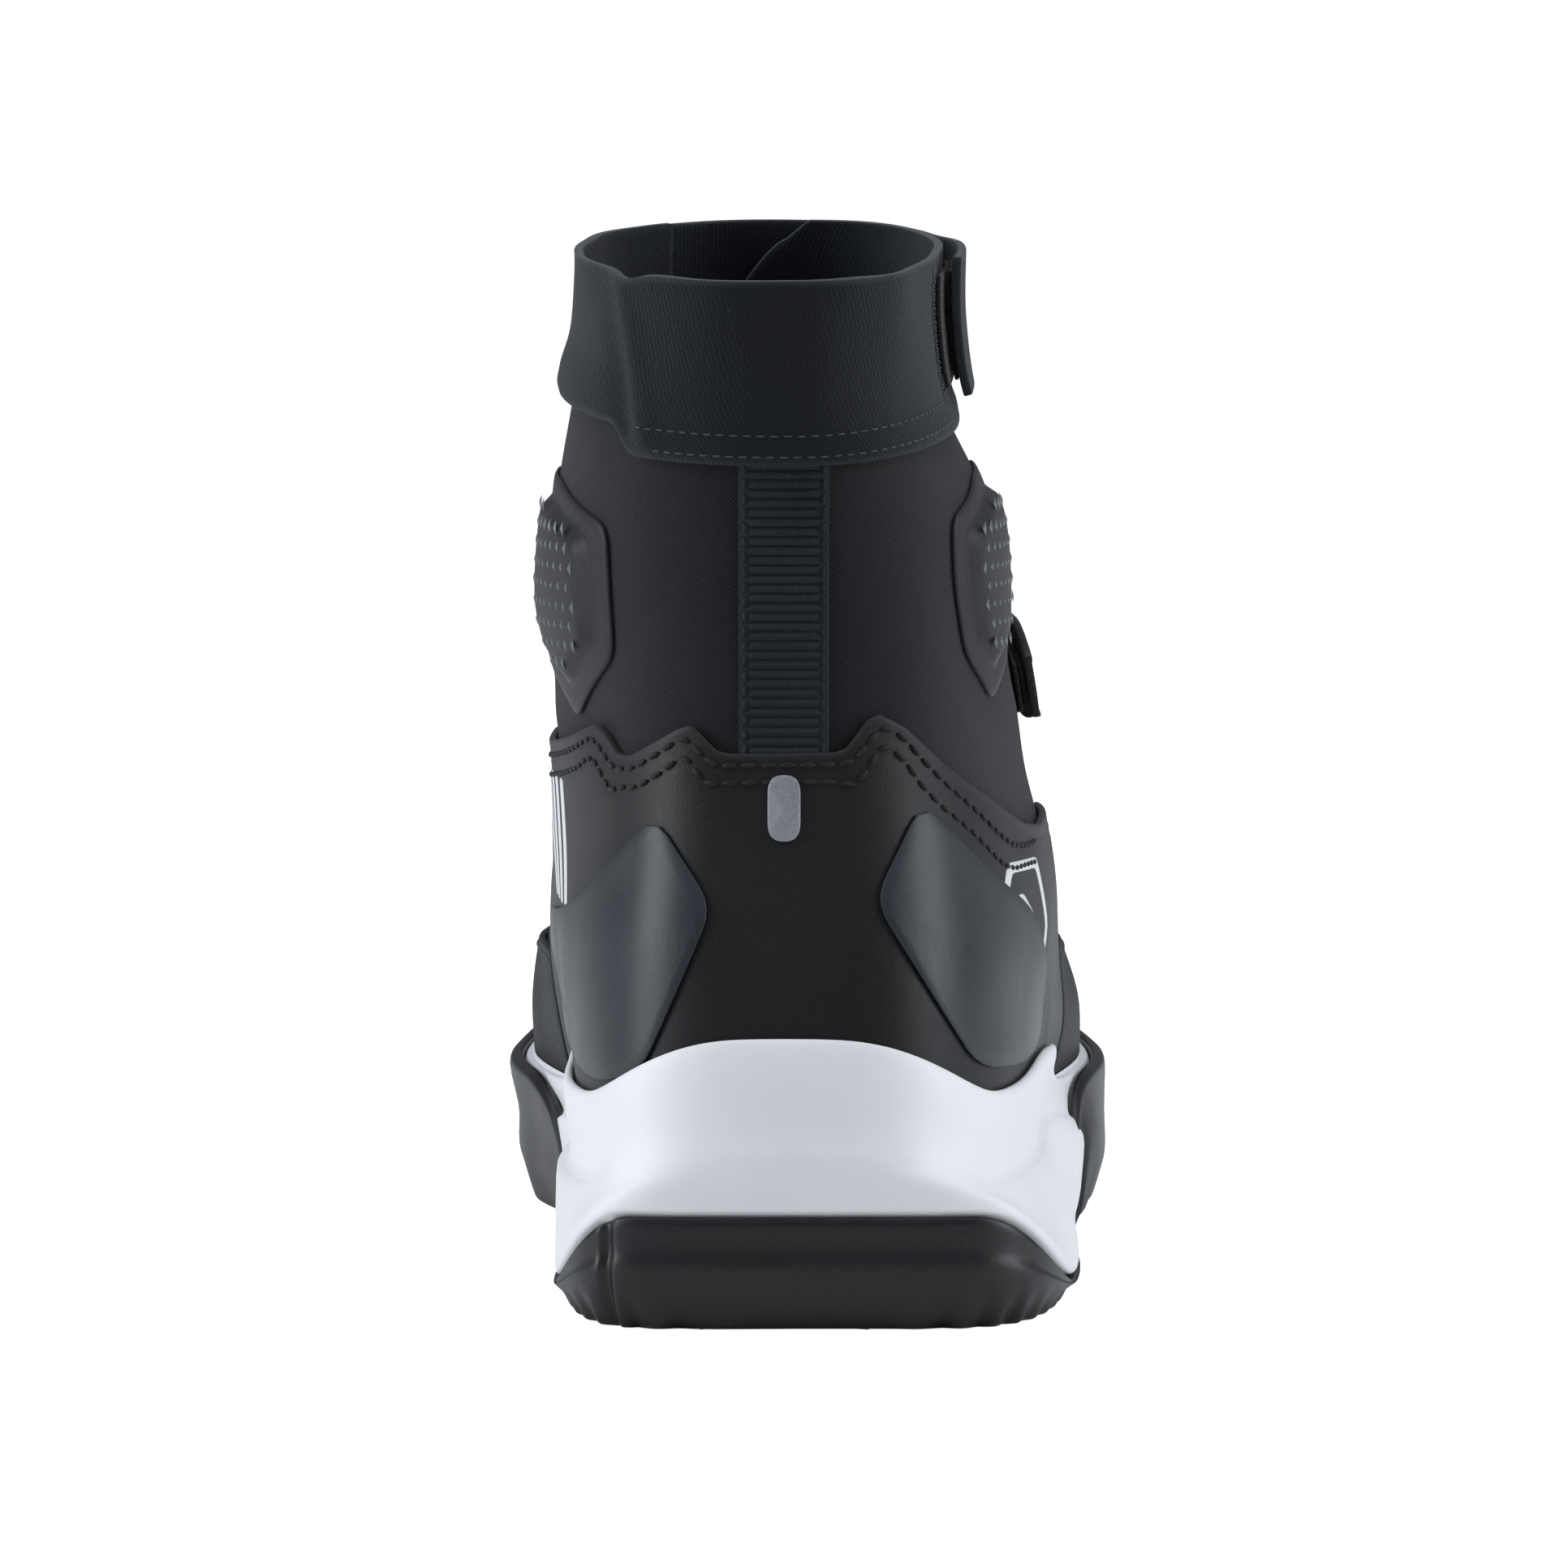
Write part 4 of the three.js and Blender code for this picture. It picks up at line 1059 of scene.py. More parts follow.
        stations = [
            lambda a: self.under(a, 0, 0, plate_top),
            lambda a: self.under(a, 0.5, 5, plate_top),
            lambda a: self.footprint(a, 4.2, np.full(a.shape, plate_top)),
            lambda a: self.footprint(a, 3.6, np.maximum(plate_top, self.rubber_top(a) - 2.0)),
            skirt(0.5, 1.6),
            skirt(0.9, 0.55),
            skirt(1.6, 0.2),
            skirt(4.0, 0.25),
            wall(0.34, 5.9, 0.0),
            wall(0.42, 5.3, 0.0),
            wall(0.46, 4.2, 0.1),
            wall(0.60, 2.9, 0.2),
            wall(0.76, 2.5, 0.4),
            lip(2.6, self.lip + 0.7),
            lip(0.9, self.lip + 0.4),
            lip(0.15, self.lip),
            lip(0.0, self.lip - 0.5),
            lip(0.0, 0.25),
            lip(0.8, 0.0),
            lambda a: self.last.off(a, 0.4 + 0 * a, np.full(a.shape, self.cup_gap)),
            lambda a: self.bed(a, 1, self.cup_gap, -self.clear),
            lambda a: self.bed(a, 0.5, self.cup_gap, -self.clear),
            lambda a: self.bed(a, 0, 0, -self.clear),
        ]
        piece = self.turned("midsole_cup", 96, stations, "white_foam")
        self.settle(piece, "boot", "white_foam", "midsole")

    def make_outsole(self) -> None:
        """The rubber cup with its toothed foot, the groove beside its heel and its rand."""
        depth, wall, tooth = self.lug_depth, self.rubber_wall, 9.5
        plate_top = depth + self.plate
        rand_gap = self.cup_gap + self.lip + self.clear

        def rand(drop: float, distance: float) -> Ring:
            """A ring of the rubber's upper edge on the outside of the upper."""
            return lambda a: self.last.off(
                a, self.last.level_over(a, self.rubber_top(a) - drop), np.full(a.shape, distance)
            )

        def groove(a: Array) -> Array:
            """The upright groove that parts the heel block from the inner side."""
            return 1.6 * bell(np.arctan2(np.sin(a), np.cos(a)), -0.236, 0.016)

        def side(z: float, inset: float, share: float) -> Ring:
            """A ring of the outer wall."""
            return lambda a: self.footprint(
                a, inset + groove(a), mix(z, np.maximum(self.rubber_top(a), z), share)
            )

        def joined(back: Ring, front: Ring) -> Ring:
            """One ring at the heel and another at the toe."""
            return lambda a: self.between(a, back(a), front(a))

        def teeth(z: float, inset: float, deep: float) -> Ring:
            """A ring of the rim's foot, notched into slanted teeth beside the heel and round the forefoot."""

            def ring(a: Array) -> Array:
                """The ring's points."""
                point = self.footprint(a, 0, 0)
                way = np.abs(point[..., 0]) + point[..., 1]
                cut = np.abs((way / tooth) % 1.0 - 0.35) * 1.5
                return self.footprint(a, inset + groove(a) + deep * cut, np.full(a.shape, z))

            return ring

        stations = [
            lambda a: self.under(a, 0, 0, depth),
            lambda a: self.under(a, 0.5, 5, depth),
            lambda a: self.under(a, 1, 11, depth),
            lambda a: self.under(a, 1, 9.5, depth - 0.3),
            lambda a: self.under(a, 1, 8.6, 0.3),
            lambda a: self.under(a, 1, 7.6, 0.05),
            teeth(0.05, 3.0, 2.0),
            teeth(0.3, 2.4, 2.0),
            teeth(1.4, 1.8, 1.8),
            joined(teeth(3.0, 1.2, 1.4), teeth(7.0, 0.4, 1.0)),
            joined(side(3.4, 0.5, 0.2), side(9.0, 0.1, 0.0)),
            joined(side(3.4, 0.0, 0.45), side(13, 0.2, 0.0)),
            joined(side(3.4, 0.15, 0.55), side(16, 0.4, 0.0)),
            joined(side(3.4, 0.7, 0.62), rand(5, rand_gap + wall + 0.6)),
            joined(side(3.4, 0.3, 0.94), rand(1.2, rand_gap + wall + 0.3)),
            joined(side(3.4, 0.6, 1.0), rand(0.2, rand_gap + wall - 0.2)),
            joined(side(3.4, wall - 0.3, 1.0), rand(0.0, rand_gap + 0.3)),
            joined(side(3.0, wall, 0.9), rand(0.8, rand_gap)),
            joined(side(plate_top + 0.6, wall + 0.8, 0.0), lambda a: self.footprint(a, wall, 16 + 0 * a)),
            lambda a: self.footprint(a, wall + 1.2, np.full(a.shape, plate_top)),
            lambda a: self.under(a, 0.5, wall + 4.4, plate_top),
            lambda a: self.under(a, 0, 0, plate_top),
        ]
        piece = self.turned("outsole_cup", 216, stations, "rubber")
        self.settle(piece, "boot", "rubber", "outsole")

    def lug(self, bm: bmesh.types.BMesh, corners: Sequence[Pair]) -> None:
        """Adds one tread block, a little smaller at its foot, that follows the toe spring.

        Args:
            bm: the tread under construction.
            corners: the block's corners in plan.
        """
        verts = [bm.verts.new((x, y, 0.0)) for x, y in corners]
        face = bm.faces.new(verts)
        made = bmesh.ops.extrude_face_region(bm, geom=[face])["geom"]
        upper = [g for g in made if isinstance(g, bmesh.types.BMVert)]
        bmesh.ops.translate(bm, verts=upper, vec=(0, 0, self.lug_depth + 1.0))
        centre = np.mean([v.co[:2] for v in verts], axis=0)
        for vert in verts:
            vert.co.xy = Vector(mix(np.array(vert.co[:2]), centre, 0.06))
        for vert in (*verts, *upper):
            vert.co.z += float(self.last.spring(np.array(vert.co.y)))
            vert.co = Vector(self.last.place(vert.co))

    def rim_reach(self, side: int, y: float) -> float:
        """How far out the tread reaches at a distance from the heel.

        Args:
            side: +1 for the outer side, -1 for the inner side.
            y: the distance from the heel.

        Returns:
            The reach from the middle line.
        """
        rim = 10.5

        def edge(a: Array) -> Array:
            """The inside of the rim on this side."""
            return self.footprint(side * a, rim, np.zeros(a.shape))

        angle = solve(lambda a: edge(a)[..., 1], np.array([y]), 0, math.pi)
        return abs(float(edge(angle)[0, 0]))

    def make_tread(self) -> None:
        """Chevrons down the middle and slanted blocks along both edges."""
        bm, length, dip, half, spacing = bmesh.new(), 10.0, 7.0, 15.0, 17.0
        for y in np.arange(length, self.length - 12, spacing):
            for side in (1, -1):
                arm = [(0, y), (side * half, y - dip), (side * half, y - dip + length), (0, y + length)]
                self.lug(bm, arm[::side])
                reach = self.rim_reach(side, y)
                if reach > half + 8:
                    near, far, back = side * (half + 4), side * reach, y - dip
                    out = back - 0.16 * (reach - half)
                    strip = [(near, back), (far, out), (far, out + length), (near, back + length)]
                    self.lug(bm, strip[::side])
        bmesh.ops.recalc_face_normals(bm, faces=bm.faces)
        piece = self.finish_mesh("tread_lugs", bm, "rubber")
        bevel = piece.modifiers.new("edge", "BEVEL")
        bevel.width, bevel.segments = 0.5 * MM, 2
        self.settle(piece, "boot", "rubber")

    def make_inside(self) -> None:
        """The board and shank keep their shape; the footbed gets a cupped heel and a soft top."""
        self.dress("insole_board", "fibre_board")
        self.dress("shank", "spring_steel")
        gap, low = -6.0, 5.6
        stations = [
            lambda a: self.bed(a, 0, 0, low),
            lambda a: self.bed(a, 0.5, gap, low),
            lambda a: self.bed(a, 1, gap, low),
            lambda a: self.bed(a, 1, gap, low + 4.6 - 1.2 * self.front(a)),
            lambda a: self.bed(a, 0.97, gap, low + 4.8 - 1.4 * self.front(a)),
            lambda a: self.bed(a, 0.86, gap, low + 3.6),
            lambda a: self.bed(a, 0.5, gap, low + 3.2),
            lambda a: self.bed(a, 0, 0, low + 3.2),
        ]
        self.settle(self.turned("footbed_cover", 64, stations, "lining"), "boot", "white_foam", "footbed")

    def build(self) -> None:
        """Makes the whole sole."""
        self.make_midsole()
        self.make_outsole()
        self.make_tread()
        self.make_inside()


# ---------------------------------------------------------------- the upper


@dataclass
class Upper(Assembly):
    """The textile shell, vamp, tongue, lining, stiffeners and ankle padding."""

    wall: float = 1.6
    shell_top: float = 9.7
    vamp_seam: float = math.radians(106)
    vamp_level: float = 4.6
    throat: float = 42.0

    def edge(self, side: int, level: Array) -> Array:
        """The angle of a quarter's front edge: the vamp seam low down, the throat above it.

        Args:
            side: +1 for the outer side, -1 for the inner side.
            level: levels up the upper.

        Returns:
            The angles.
        """
        front = self.last.from_front(level, side * self.throat / 2)
        turn = front if side > 0 else 2 * math.pi - front
        return mix(self.vamp_seam, turn, ease(level, self.vamp_level - 1.1, self.vamp_level))

    def pucker(self, angle: Array, level: Array) -> Array:
        """Shallow soft folds and fullness of the cloth.

        Args:
            angle: angles round the foot.
            level: levels up the upper.

        Returns:
            The cloth's height over the last.
        """
        soft = 0.5 * bell(level, 8.6, 0.5) * (np.sin(5 * angle + 1.3) + 0.6 * np.sin(11 * angle))
        crease = 0.7 * bell(level, 6.0 + 0.8 * np.cos(angle), 0.3) * ease(np.abs(angle), 0.8, 1.4)
        fold = 0.5 * bell(level, 5.35, 0.22) * bell(angle, -0.9, 0.35)
        return np.minimum(soft, 0.35) * 0.6 - 0.5 * crease - fold

    def make_shell(self) -> None:
        """The shaft and quarters in one cloth, open at the throat."""

        def where(u: Array, v: Array) -> tuple[Array, Array, Array]:
            """Spreads the cloth from throat to throat round the heel."""
            level = mix(-0.2, self.shell_top, v)
            lateral, medial = self.edge(1, level), self.edge(-1, level)
            angle = mix(-medial, lateral, u)
            return angle, level, self.pucker(angle, level)

        self.settle(
            self.sheet("shaft_shell", 150, 64, where, self.wall, "softshell"),
            "boot", "softshell", "quarter_lateral", "quarter_medial",
        )

    def make_vamp(self) -> None:
        """The cloth over the forefoot, with creases where the toes bend."""

        def where(u: Array, v: Array) -> tuple[Array, Array, Array]:
            """Spreads the cloth from seam to seam over the toe."""
            level = mix(-0.2, self.vamp_level - 0.1, v)
            lateral, medial = self.edge(1, level), 2 * math.pi - self.edge(-1, level)
            angle = mix(lateral + 0.012, medial - 0.012, u)
            y = self.last.at(angle, level)[..., 1]
            flex = 0.35 * (bell(y, 206, 2.5) + bell(y, 216, 2.5)) * ease(level, 1.5, 3)
            return angle, level, -flex

        piece = self.sheet("vamp_shell", 110, 40, where, self.wall, "softshell")
        self.settle(piece, "boot", "softshell", "vamp")

    def make_tongue(self) -> None:
        """A padded tongue with two sewn channels across it."""

        def where(u: Array, v: Array) -> tuple[Array, Array, Array]:
            """Spreads the tongue under the throat."""
            level = mix(self.vamp_level - 0.1, 10.0, v)
            x = mix(28.0, -28.0, u)
            full = 1.25 * np.sin(math.pi * u) ** 0.6 - 0.75 * (bell(v, 0.35, 0.02) + bell(v, 0.6, 0.02))
            return self.last.from_front(level, x), level, full - 3.2

        piece = self.sheet("tongue_pad", 36, 90, where, 2.2, "knit", 0.6)
        self.settle(piece, "boot", "stretch_knit", "tongue")

    def make_lining(self) -> None:
        """The sock inside the shaft, with a soft roll at its top."""

        def face(level: Array) -> Array:
            """The lining's height, which leaves room for the padding over the heel."""
            return mix(-3.4, -6.3, ease(level, 2.6, 4.3)) + 2.2 * ease(level, 9.2, 10.0)

        def where(u: Array, v: Array) -> tuple[Array, Array, Array]:
            """Spreads the lining round the foot."""
            level = mix(0.75, 10.1, v)
            angle = mix(-math.pi, math.pi, u)
            return angle, level, face(level) - 0.15

        self.settle(self.sheet("lining_sock", 96, 48, where, 1.4, "lining", 0.4), "boot", "lining", "lining")

    def make_inner_parts(self) -> None:
        """The heel's stiffener keeps its shape; the toe puff and the ankle padding get softer ones."""
        self.dress("heel_stiffener", "stiff_sheet")

        def puff(u: Array, v: Array) -> tuple[Array, Array, Array]:
            """Spreads the toe puff under the vamp."""
            angle = mix(math.radians(142), math.radians(218), u)
            return angle, mix(0.6, 2.6, v), np.full(u.shape, -self.wall - 0.4)

        piece = self.sheet("toe_puff_sheet", 48, 24, puff, 0.8, "stiff_sheet", 0.2)
        self.settle(piece, "boot", "board", "toe_puff")
        corners = [(42, 100), (62, 100), (78, 110), (80, 132), (74, 140), (42, 140), (34, 132), (34, 110)]
        outline = rounded(corners, 5, 40)
        face = [(0, -2.0), (0.5, -2.05), (0.85, -2.3), (0.97, -3.0), (1, -4.0)]
        profile = [*face, (0.97, -5.0), (0.85, -5.7), (0.5, -5.85), (0, -5.9)]
        for side, word in ((1, "lateral"), (-1, "medial")):
            chart = lambda y, z, s=side: self.last.from_side(s, y, z)
            pad = self.patch(f"ankle_pad_{word}", chart, outline, profile, "padding")
            self.settle(pad, "boot", "lining", f"ankle_foam_{word}")

    def build(self) -> None:
        """Makes the whole upper."""
        self.make_shell()
        self.make_vamp()
        self.make_tongue()
        self.make_lining()
        self.make_inner_parts()


@dataclass
class HeelTrim(Assembly):
    """What lies on the heel: overlay, films, reflector, webbing and the printed marks."""

    low: float = 0.35
    high: float = 1.65
    # the stepped upper edge, as sideways place and height
    edge: tuple[Pair, ...] = (
        (-48, 82), (-43, 88), (-40.5, 92.5), (-34.0, 97.6), (-31.6, 99.4), (-29.8, 98.2), (-27.2, 95.0),
        (-25.2, 94.8), (-17.8, 99.9), (-15.8, 100.6), (-13.8, 98.9), (-11.2, 96.5), (-9.4, 96.0), (8.6, 96.2),
        (10.6, 97.0), (14.6, 101.6), (16.4, 102.4), (20.0, 100.4), (26.5, 92.8), (32.6, 86.6), (38.0, 80.4),
        (40.8, 78.6), (43, 79.6), (48, 88),
    )

    def top(self, x: Array) -> Array:
        """The height of the overlay's upper edge."""
        return np.interp(x, *np.array(self.edge).T)

    def make_overlay(self) -> None:
        """The smooth panel round the heel, with two rows of stitches along its edge."""

        def edge_level(angle: Array) -> Array:
            """The level of the upper edge."""
            return self.last.level_at(angle, self.top(self.last.at(angle, np.full(angle.shape, 5.0))[..., 0]))

        def where(u: Array, v: Array) -> tuple[Array, Array, Array]:
            """Spreads the panel round the heel."""
            angle = mix(-math.pi / 2, math.pi / 2, u)
            level = mix(0.5, edge_level(angle), v)
            sunk = 0.12 * bell(v, 0.955, 0.012) + 0.12 * bell(v, 0.91, 0.012)
            return angle, level, self.high - sunk

        self.settle(
            self.sheet("heel_overlay_panel", 220, 60, where, self.high - self.low, "microfibre", 0.35),
            "boot", "microfibre", "heel_overlay",
        )
        line = np.array(self.edge)
        at = np.linspace(-46.5, 46.5, 400)
        curve = np.stack([at, np.interp(at, *line.T)], 1)
        kernel = np.ones(9) / 9
        curve[4:-4, 1] = np.convolve(curve[:, 1], kernel, "valid")
        slope = np.clip(np.abs(np.gradient(curve[:, 1], curve[:, 0])), 0, 1.2)
        for n, inset in enumerate((2.1, 5.0)):
            drop = np.convolve(np.pad(inset * np.hypot(1, slope), 6, "edge"), np.ones(13) / 13, "valid")
            row = curve - np.stack([0 * drop, drop], 1)
            row = row[np.abs(row[:, 0]) < 43.0]
            angle, _ = self.last.from_back(np.clip(row[:, 0], -41.5, 42.5), row[:, 1])
            level = self.last.level_at(angle, row[:, 1])
            self.stitches(f"heel_stitches_{n + 1}", angle, level, self.high + 0.1, "thread", 3.3, 0.5)

    def plate(
        self,
        name: str,
        chart: Callable,
        corners: Sequence[Pair],
        radius: float,
        low: float,
        high: float,
        finish: str,
        crown: float = 0.0,
    ) -> bpy.types.Object:
        """A thin patch with rounded corners.

        Args:
            name: the piece's name.
            chart: turns the outline's two coordinates into angle and level.
            corners: the outline's corners.
            radius: how far from each corner its curve starts.
            low: the height of its back.
            high: the height of its face.
            finish: the finish's name.
            crown: how much higher its middle is.

        Returns:
            The piece.
        """
        ways = np.linspace(0, 1, 9)
        top = [(w * 0.985, high + crown * (1 - w * w)) for w in ways] + [(1.0, high - 0.12)]
        back = [(1.0, low)] + [(w, low) for w in ways[::-1][1:]]
        return self.patch(name, chart, rounded(corners, radius, 56), [*top, *back], finish)

    def make_films(self) -> None:
        """The two slanted grey diamonds, each drawn round the side of the heel."""
        base = self.high + self.low
        corners = {
            "medial": [
                (-20.5, 85.5), (-11.6, 70.5), (-22.7, 42.5), (-32.0, 39.5), (-40.0, 52.0), (-39.5, 62.0),
            ],
            "lateral": [(21.8, 87.5), (14.6, 71.5), (31.0, 42.5), (42.0, 40.0), (44.0, 56.0), (41.0, 66.0)],
        }
        for word, outline in corners.items():
            name, back = f"heel_film_{word}", self.last.from_back
            film = self.plate(f"{name}_skin", back, outline, 4.0, base, base + 0.4, "grey_film")
            self.settle(film, "boot", "grey_film", name)

    def make_reflector(self) -> None:
        """The reflective pill."""
        base = self.high + self.low
        pill = [(-2.75, 81.3), (2.75, 81.3), (2.75, 92.3), (-2.75, 92.3)]
        back = self.last.from_back
        piece = self.plate("reflector_pill", back, pill, 3.0, base, base + 0.45, "reflective", 0.25)
        self.settle(piece, "boot", "reflective", "reflector")

    def make_webbing(self) -> None:
        """The grosgrain strip up the back, each rib raised, with a selvedge and its stitches."""
        bottom, top, pitch, half = 94.5, 146.5, 1.62, 7.5

        def where(u: Array, v: Array) -> tuple[Array, Array, Array]:
            """Ribs across the middle of the strip, flat at its edges."""
            z = mix(bottom, top, v)
            level = self.last.level_at(np.zeros(z.shape), z)
            x = mix(-half, half, u)
            angle = solve(lambda a: self.last.at(a, level)[..., 0], x, -1.2, 1.2)
            inner = 1 - ease(np.abs(x), 5.7, 6.1)
            rib = np.abs(np.sin(math.pi * z / pitch)) ** 0.7
            return angle, level, 1.15 + inner * (0.75 * rib - 0.3)

        piece = self.sheet("heel_webbing_strip", 20, 320, where, 0.9, "webbing", 0.2)
        self.settle(piece, "boot", "webbing", "heel_webbing")
        z = np.linspace(bottom + 1, top - 0.5, 120)
        level = self.last.level_at(np.zeros(z.shape), z)
        for n, x in enumerate((-6.5, 6.5)):
            angle = solve(lambda a: self.last.at(a, level)[..., 0], np.full(z.shape, x), -1.2, 1.2)
            self.stitches(f"webbing_stitches_{n + 1}", angle, level, 1.3, "thread", 2.5, 0.34)

    def make_prints(self) -> None:
        """Plain printed marks: an open hexagon outside, slanted bars inside."""
        base, film = self.high + 0.02, 0.14
        outside = lambda y, z: self.last.from_side(1, y, z)
        inside = lambda y, z: self.last.from_side(-1, y, z)
        hexagon = rounded([(34, 64), (45, 75), (70, 74), (82, 61), (71, 50), (46, 52)], 2, 60)
        rise = ((0.84, 0), (0.845, 0.1), (0.92, 0.12), (0.995, 0.1), (1.0, 0), (0.84, 0))
        ring = [(way, base + height) for way, height in rise]
        mark = self.patch("print_hexagon", outside, hexagon, ring, "print_white")
        self.settle(mark, "boot", "microfibre")
        for n in range(4):
            y = 58.0 + 9.0 * n
            bar = [(y, 66), (y + 4.2, 66), (y + 12.2, 88), (y + 8.0, 88)]
            piece = self.plate(f"print_bar_{n + 1}", inside, bar, 0.8, base, base + film, "print_white")
            self.settle(piece, "boot", "microfibre")
        core = [(46, 57), (54, 57), (66, 63), (54, 69), (46, 69), (57, 63)]
        piece = self.plate("print_core", outside, core, 1.0, base, base + film, "print_white")
        self.settle(piece, "boot", "microfibre")

    def build(self) -> None:
        """Makes everything on the heel."""
        self.make_overlay()
        self.make_films()
        self.make_reflector()
        self.make_webbing()
        self.make_prints()


@dataclass
class AnkleGuards(Assembly):
    """The moulded guard on each ankle: a flat border, a raised plateau and rows of small glints."""

    low: float = 0.35
    high: float = 2.95
    outlines: dict[str, tuple[Pair, ...]] = field(default_factory=lambda: {
        "medial": (
            (53, 99.5), (70, 106), (82, 117), (85, 132), (78, 142), (58, 140), (36.5, 133.5), (36, 111),
        ),
        "lateral": (
            (52, 102.5), (68, 109), (79, 120), (83, 134), (77, 143), (56, 141), (38.5, 134.5), (41, 111),
        ),
    })

    def make_guard(self, side: int, word: str) -> None:
        """One guard with its glints.

        Args:
            side: +1 for the outer side, -1 for the inner side.
            word: the side's name, used in the piece's name.
        """
        chart = lambda y, z: self.last.from_side(side, y, z)
        outline = rounded(self.outlines[word], 3, 96)
        middle = outline.mean(0)
        drops = (
            (0, 0.02), (0.2, 0.05), (0.4, 0.1), (0.52, 0.16), (0.6, 0.24), (0.64, 0.36), (0.67, 0.62),
            (0.74, 1.7), (0.765, 1.98), (0.79, 2.06), (0.82, 2.02), (0.9, 1.96), (0.965, 1.98), (0.985, 2.1),
            (1.0, 2.35),
        )
        profile = [(way, self.high - drop) for way, drop in drops]
        profile += [(way, self.low) for way in (1.0, 0.75, 0.4, 0)]
        guard = self.patch(f"ankle_guard_{word}_shell", chart, outline, profile, "guard")
        self.settle(guard, "boot", "guard", f"ankle_guard_{word}")
        bm = bmesh.new()
        inner = middle + (outline - middle) * 0.6
        for j, z in enumerate(np.arange(106, 140, 3.3)):
            width = [p for p in inner if abs(p[1] - z) < 2.5]
            if not width:
                continue
            back, front = min(p[0] for p in width), max(p[0] for p in width)
            for y in np.arange(back + 0.5 + 1.8 * (j % 2), front, 3.6):
                angle, level = chart(np.array([y]), np.array([z]))
                r = np.linalg.norm((np.array([y, z]) - middle) / (outline.max(0) - outline.min(0)) * 2)
                up = Vector(self.last.outward(angle, level)[0])
                ahead = Vector((0, 0, 1)).cross(up).normalized()
                turn = Matrix((ahead, up.cross(ahead), up)).transposed().to_4x4()
                turn = turn @ Matrix.Rotation(math.pi / 2, 4, "Z")
                spot = self.last.off(angle, level, np.array([self.high - 0.04 - 0.12 * r]))[0]
                size = Matrix.Diagonal((1.5 * MM, 1.15 * MM, 0.3 * MM, 1))
                bmesh.ops.create_cone(
                    bm, cap_ends=True, segments=3, radius1=1.0, radius2=0.12, depth=1.0,
                    matrix=Matrix.Translation(self.last.place(spot)) @ turn @ size,
                )
        glints = self.finish_mesh(f"guard_glints_{word}", bm, "glint")
        for polygon in glints.data.polygons:
            polygon.use_smooth = False
        self.settle(glints, "boot", "guard")

    def build(self) -> None:
        """Makes both guards."""
        self.make_guard(1, "lateral")
        self.make_guard(-1, "medial")


@dataclass
class Forefoot(Assembly):
    """The embossed side panels and the toe cap."""

    low: float = 0.35
    high: float = 1.65

    def make_panel(self, side: int, word: str) -> None:
        """One embossed panel beside the ball of the foot, with a stitched upper edge.

        Args:
            side: +1 for the outer side, -1 for the inner side.
            word: the side's name, used in the piece's name.
        """
        start, stop = (math.radians(a) for a in (91, 148))

        def crest(angle: Array) -> Array:
            """The level of the panel's upper edge, which drops towards the toe."""
            return 2.0 - 0.35 * ease(np.abs(angle), start, stop)

        def where(u: Array, v: Array) -> tuple[Array, Array, Array]:
            """Spreads the panel from the heel overlay to the toe cap."""
            angle = side * mix(start, stop, u)
            return angle, mix(0.3, crest(angle), v), np.full(u.shape, self.high)

        panel = self.sheet(f"forefoot_panel_{word}", 60, 24, where, self.high - self.low, "hex_rubber", 0.3)
        self.settle(panel, "boot", "microfibre", f"forefoot_overlay_{word}")
        angle = side * np.linspace(start + 0.02, stop - 0.02, 160)
        name, height = f"forefoot_stitches_{word}", self.high + 0.05
        self.stitches(name, angle, crest(angle) - 0.13, height, "pale_thread")

    def make_toe_cap(self) -> None:
        """The rubber cap over the toes, with three shallow grooves."""
        start, stop = math.radians(150), math.radians(210)

        def where(u: Array, v: Array) -> tuple[Array, Array, Array]:
            """Spreads the cap round the toe."""
            angle = mix(start, stop, u)
            top = 2.9 - 0.5 * np.abs(2 * u - 1) ** 3
            groove = 0.35 * sum(bell(v, k, 0.025) for k in (0.62, 0.74, 0.86))
            return angle, mix(0.3, top, v), self.high - groove

        piece = self.sheet("toe_cap_shell", 64, 60, where, self.high - self.low, "rubber", 0.3)
        self.settle(piece, "boot", "rubber", "toe_cap")

    def build(self) -> None:
        """Makes the panels and the cap."""
        self.make_panel(1, "lateral")
        self.make_panel(-1, "medial")
        self.make_toe_cap()


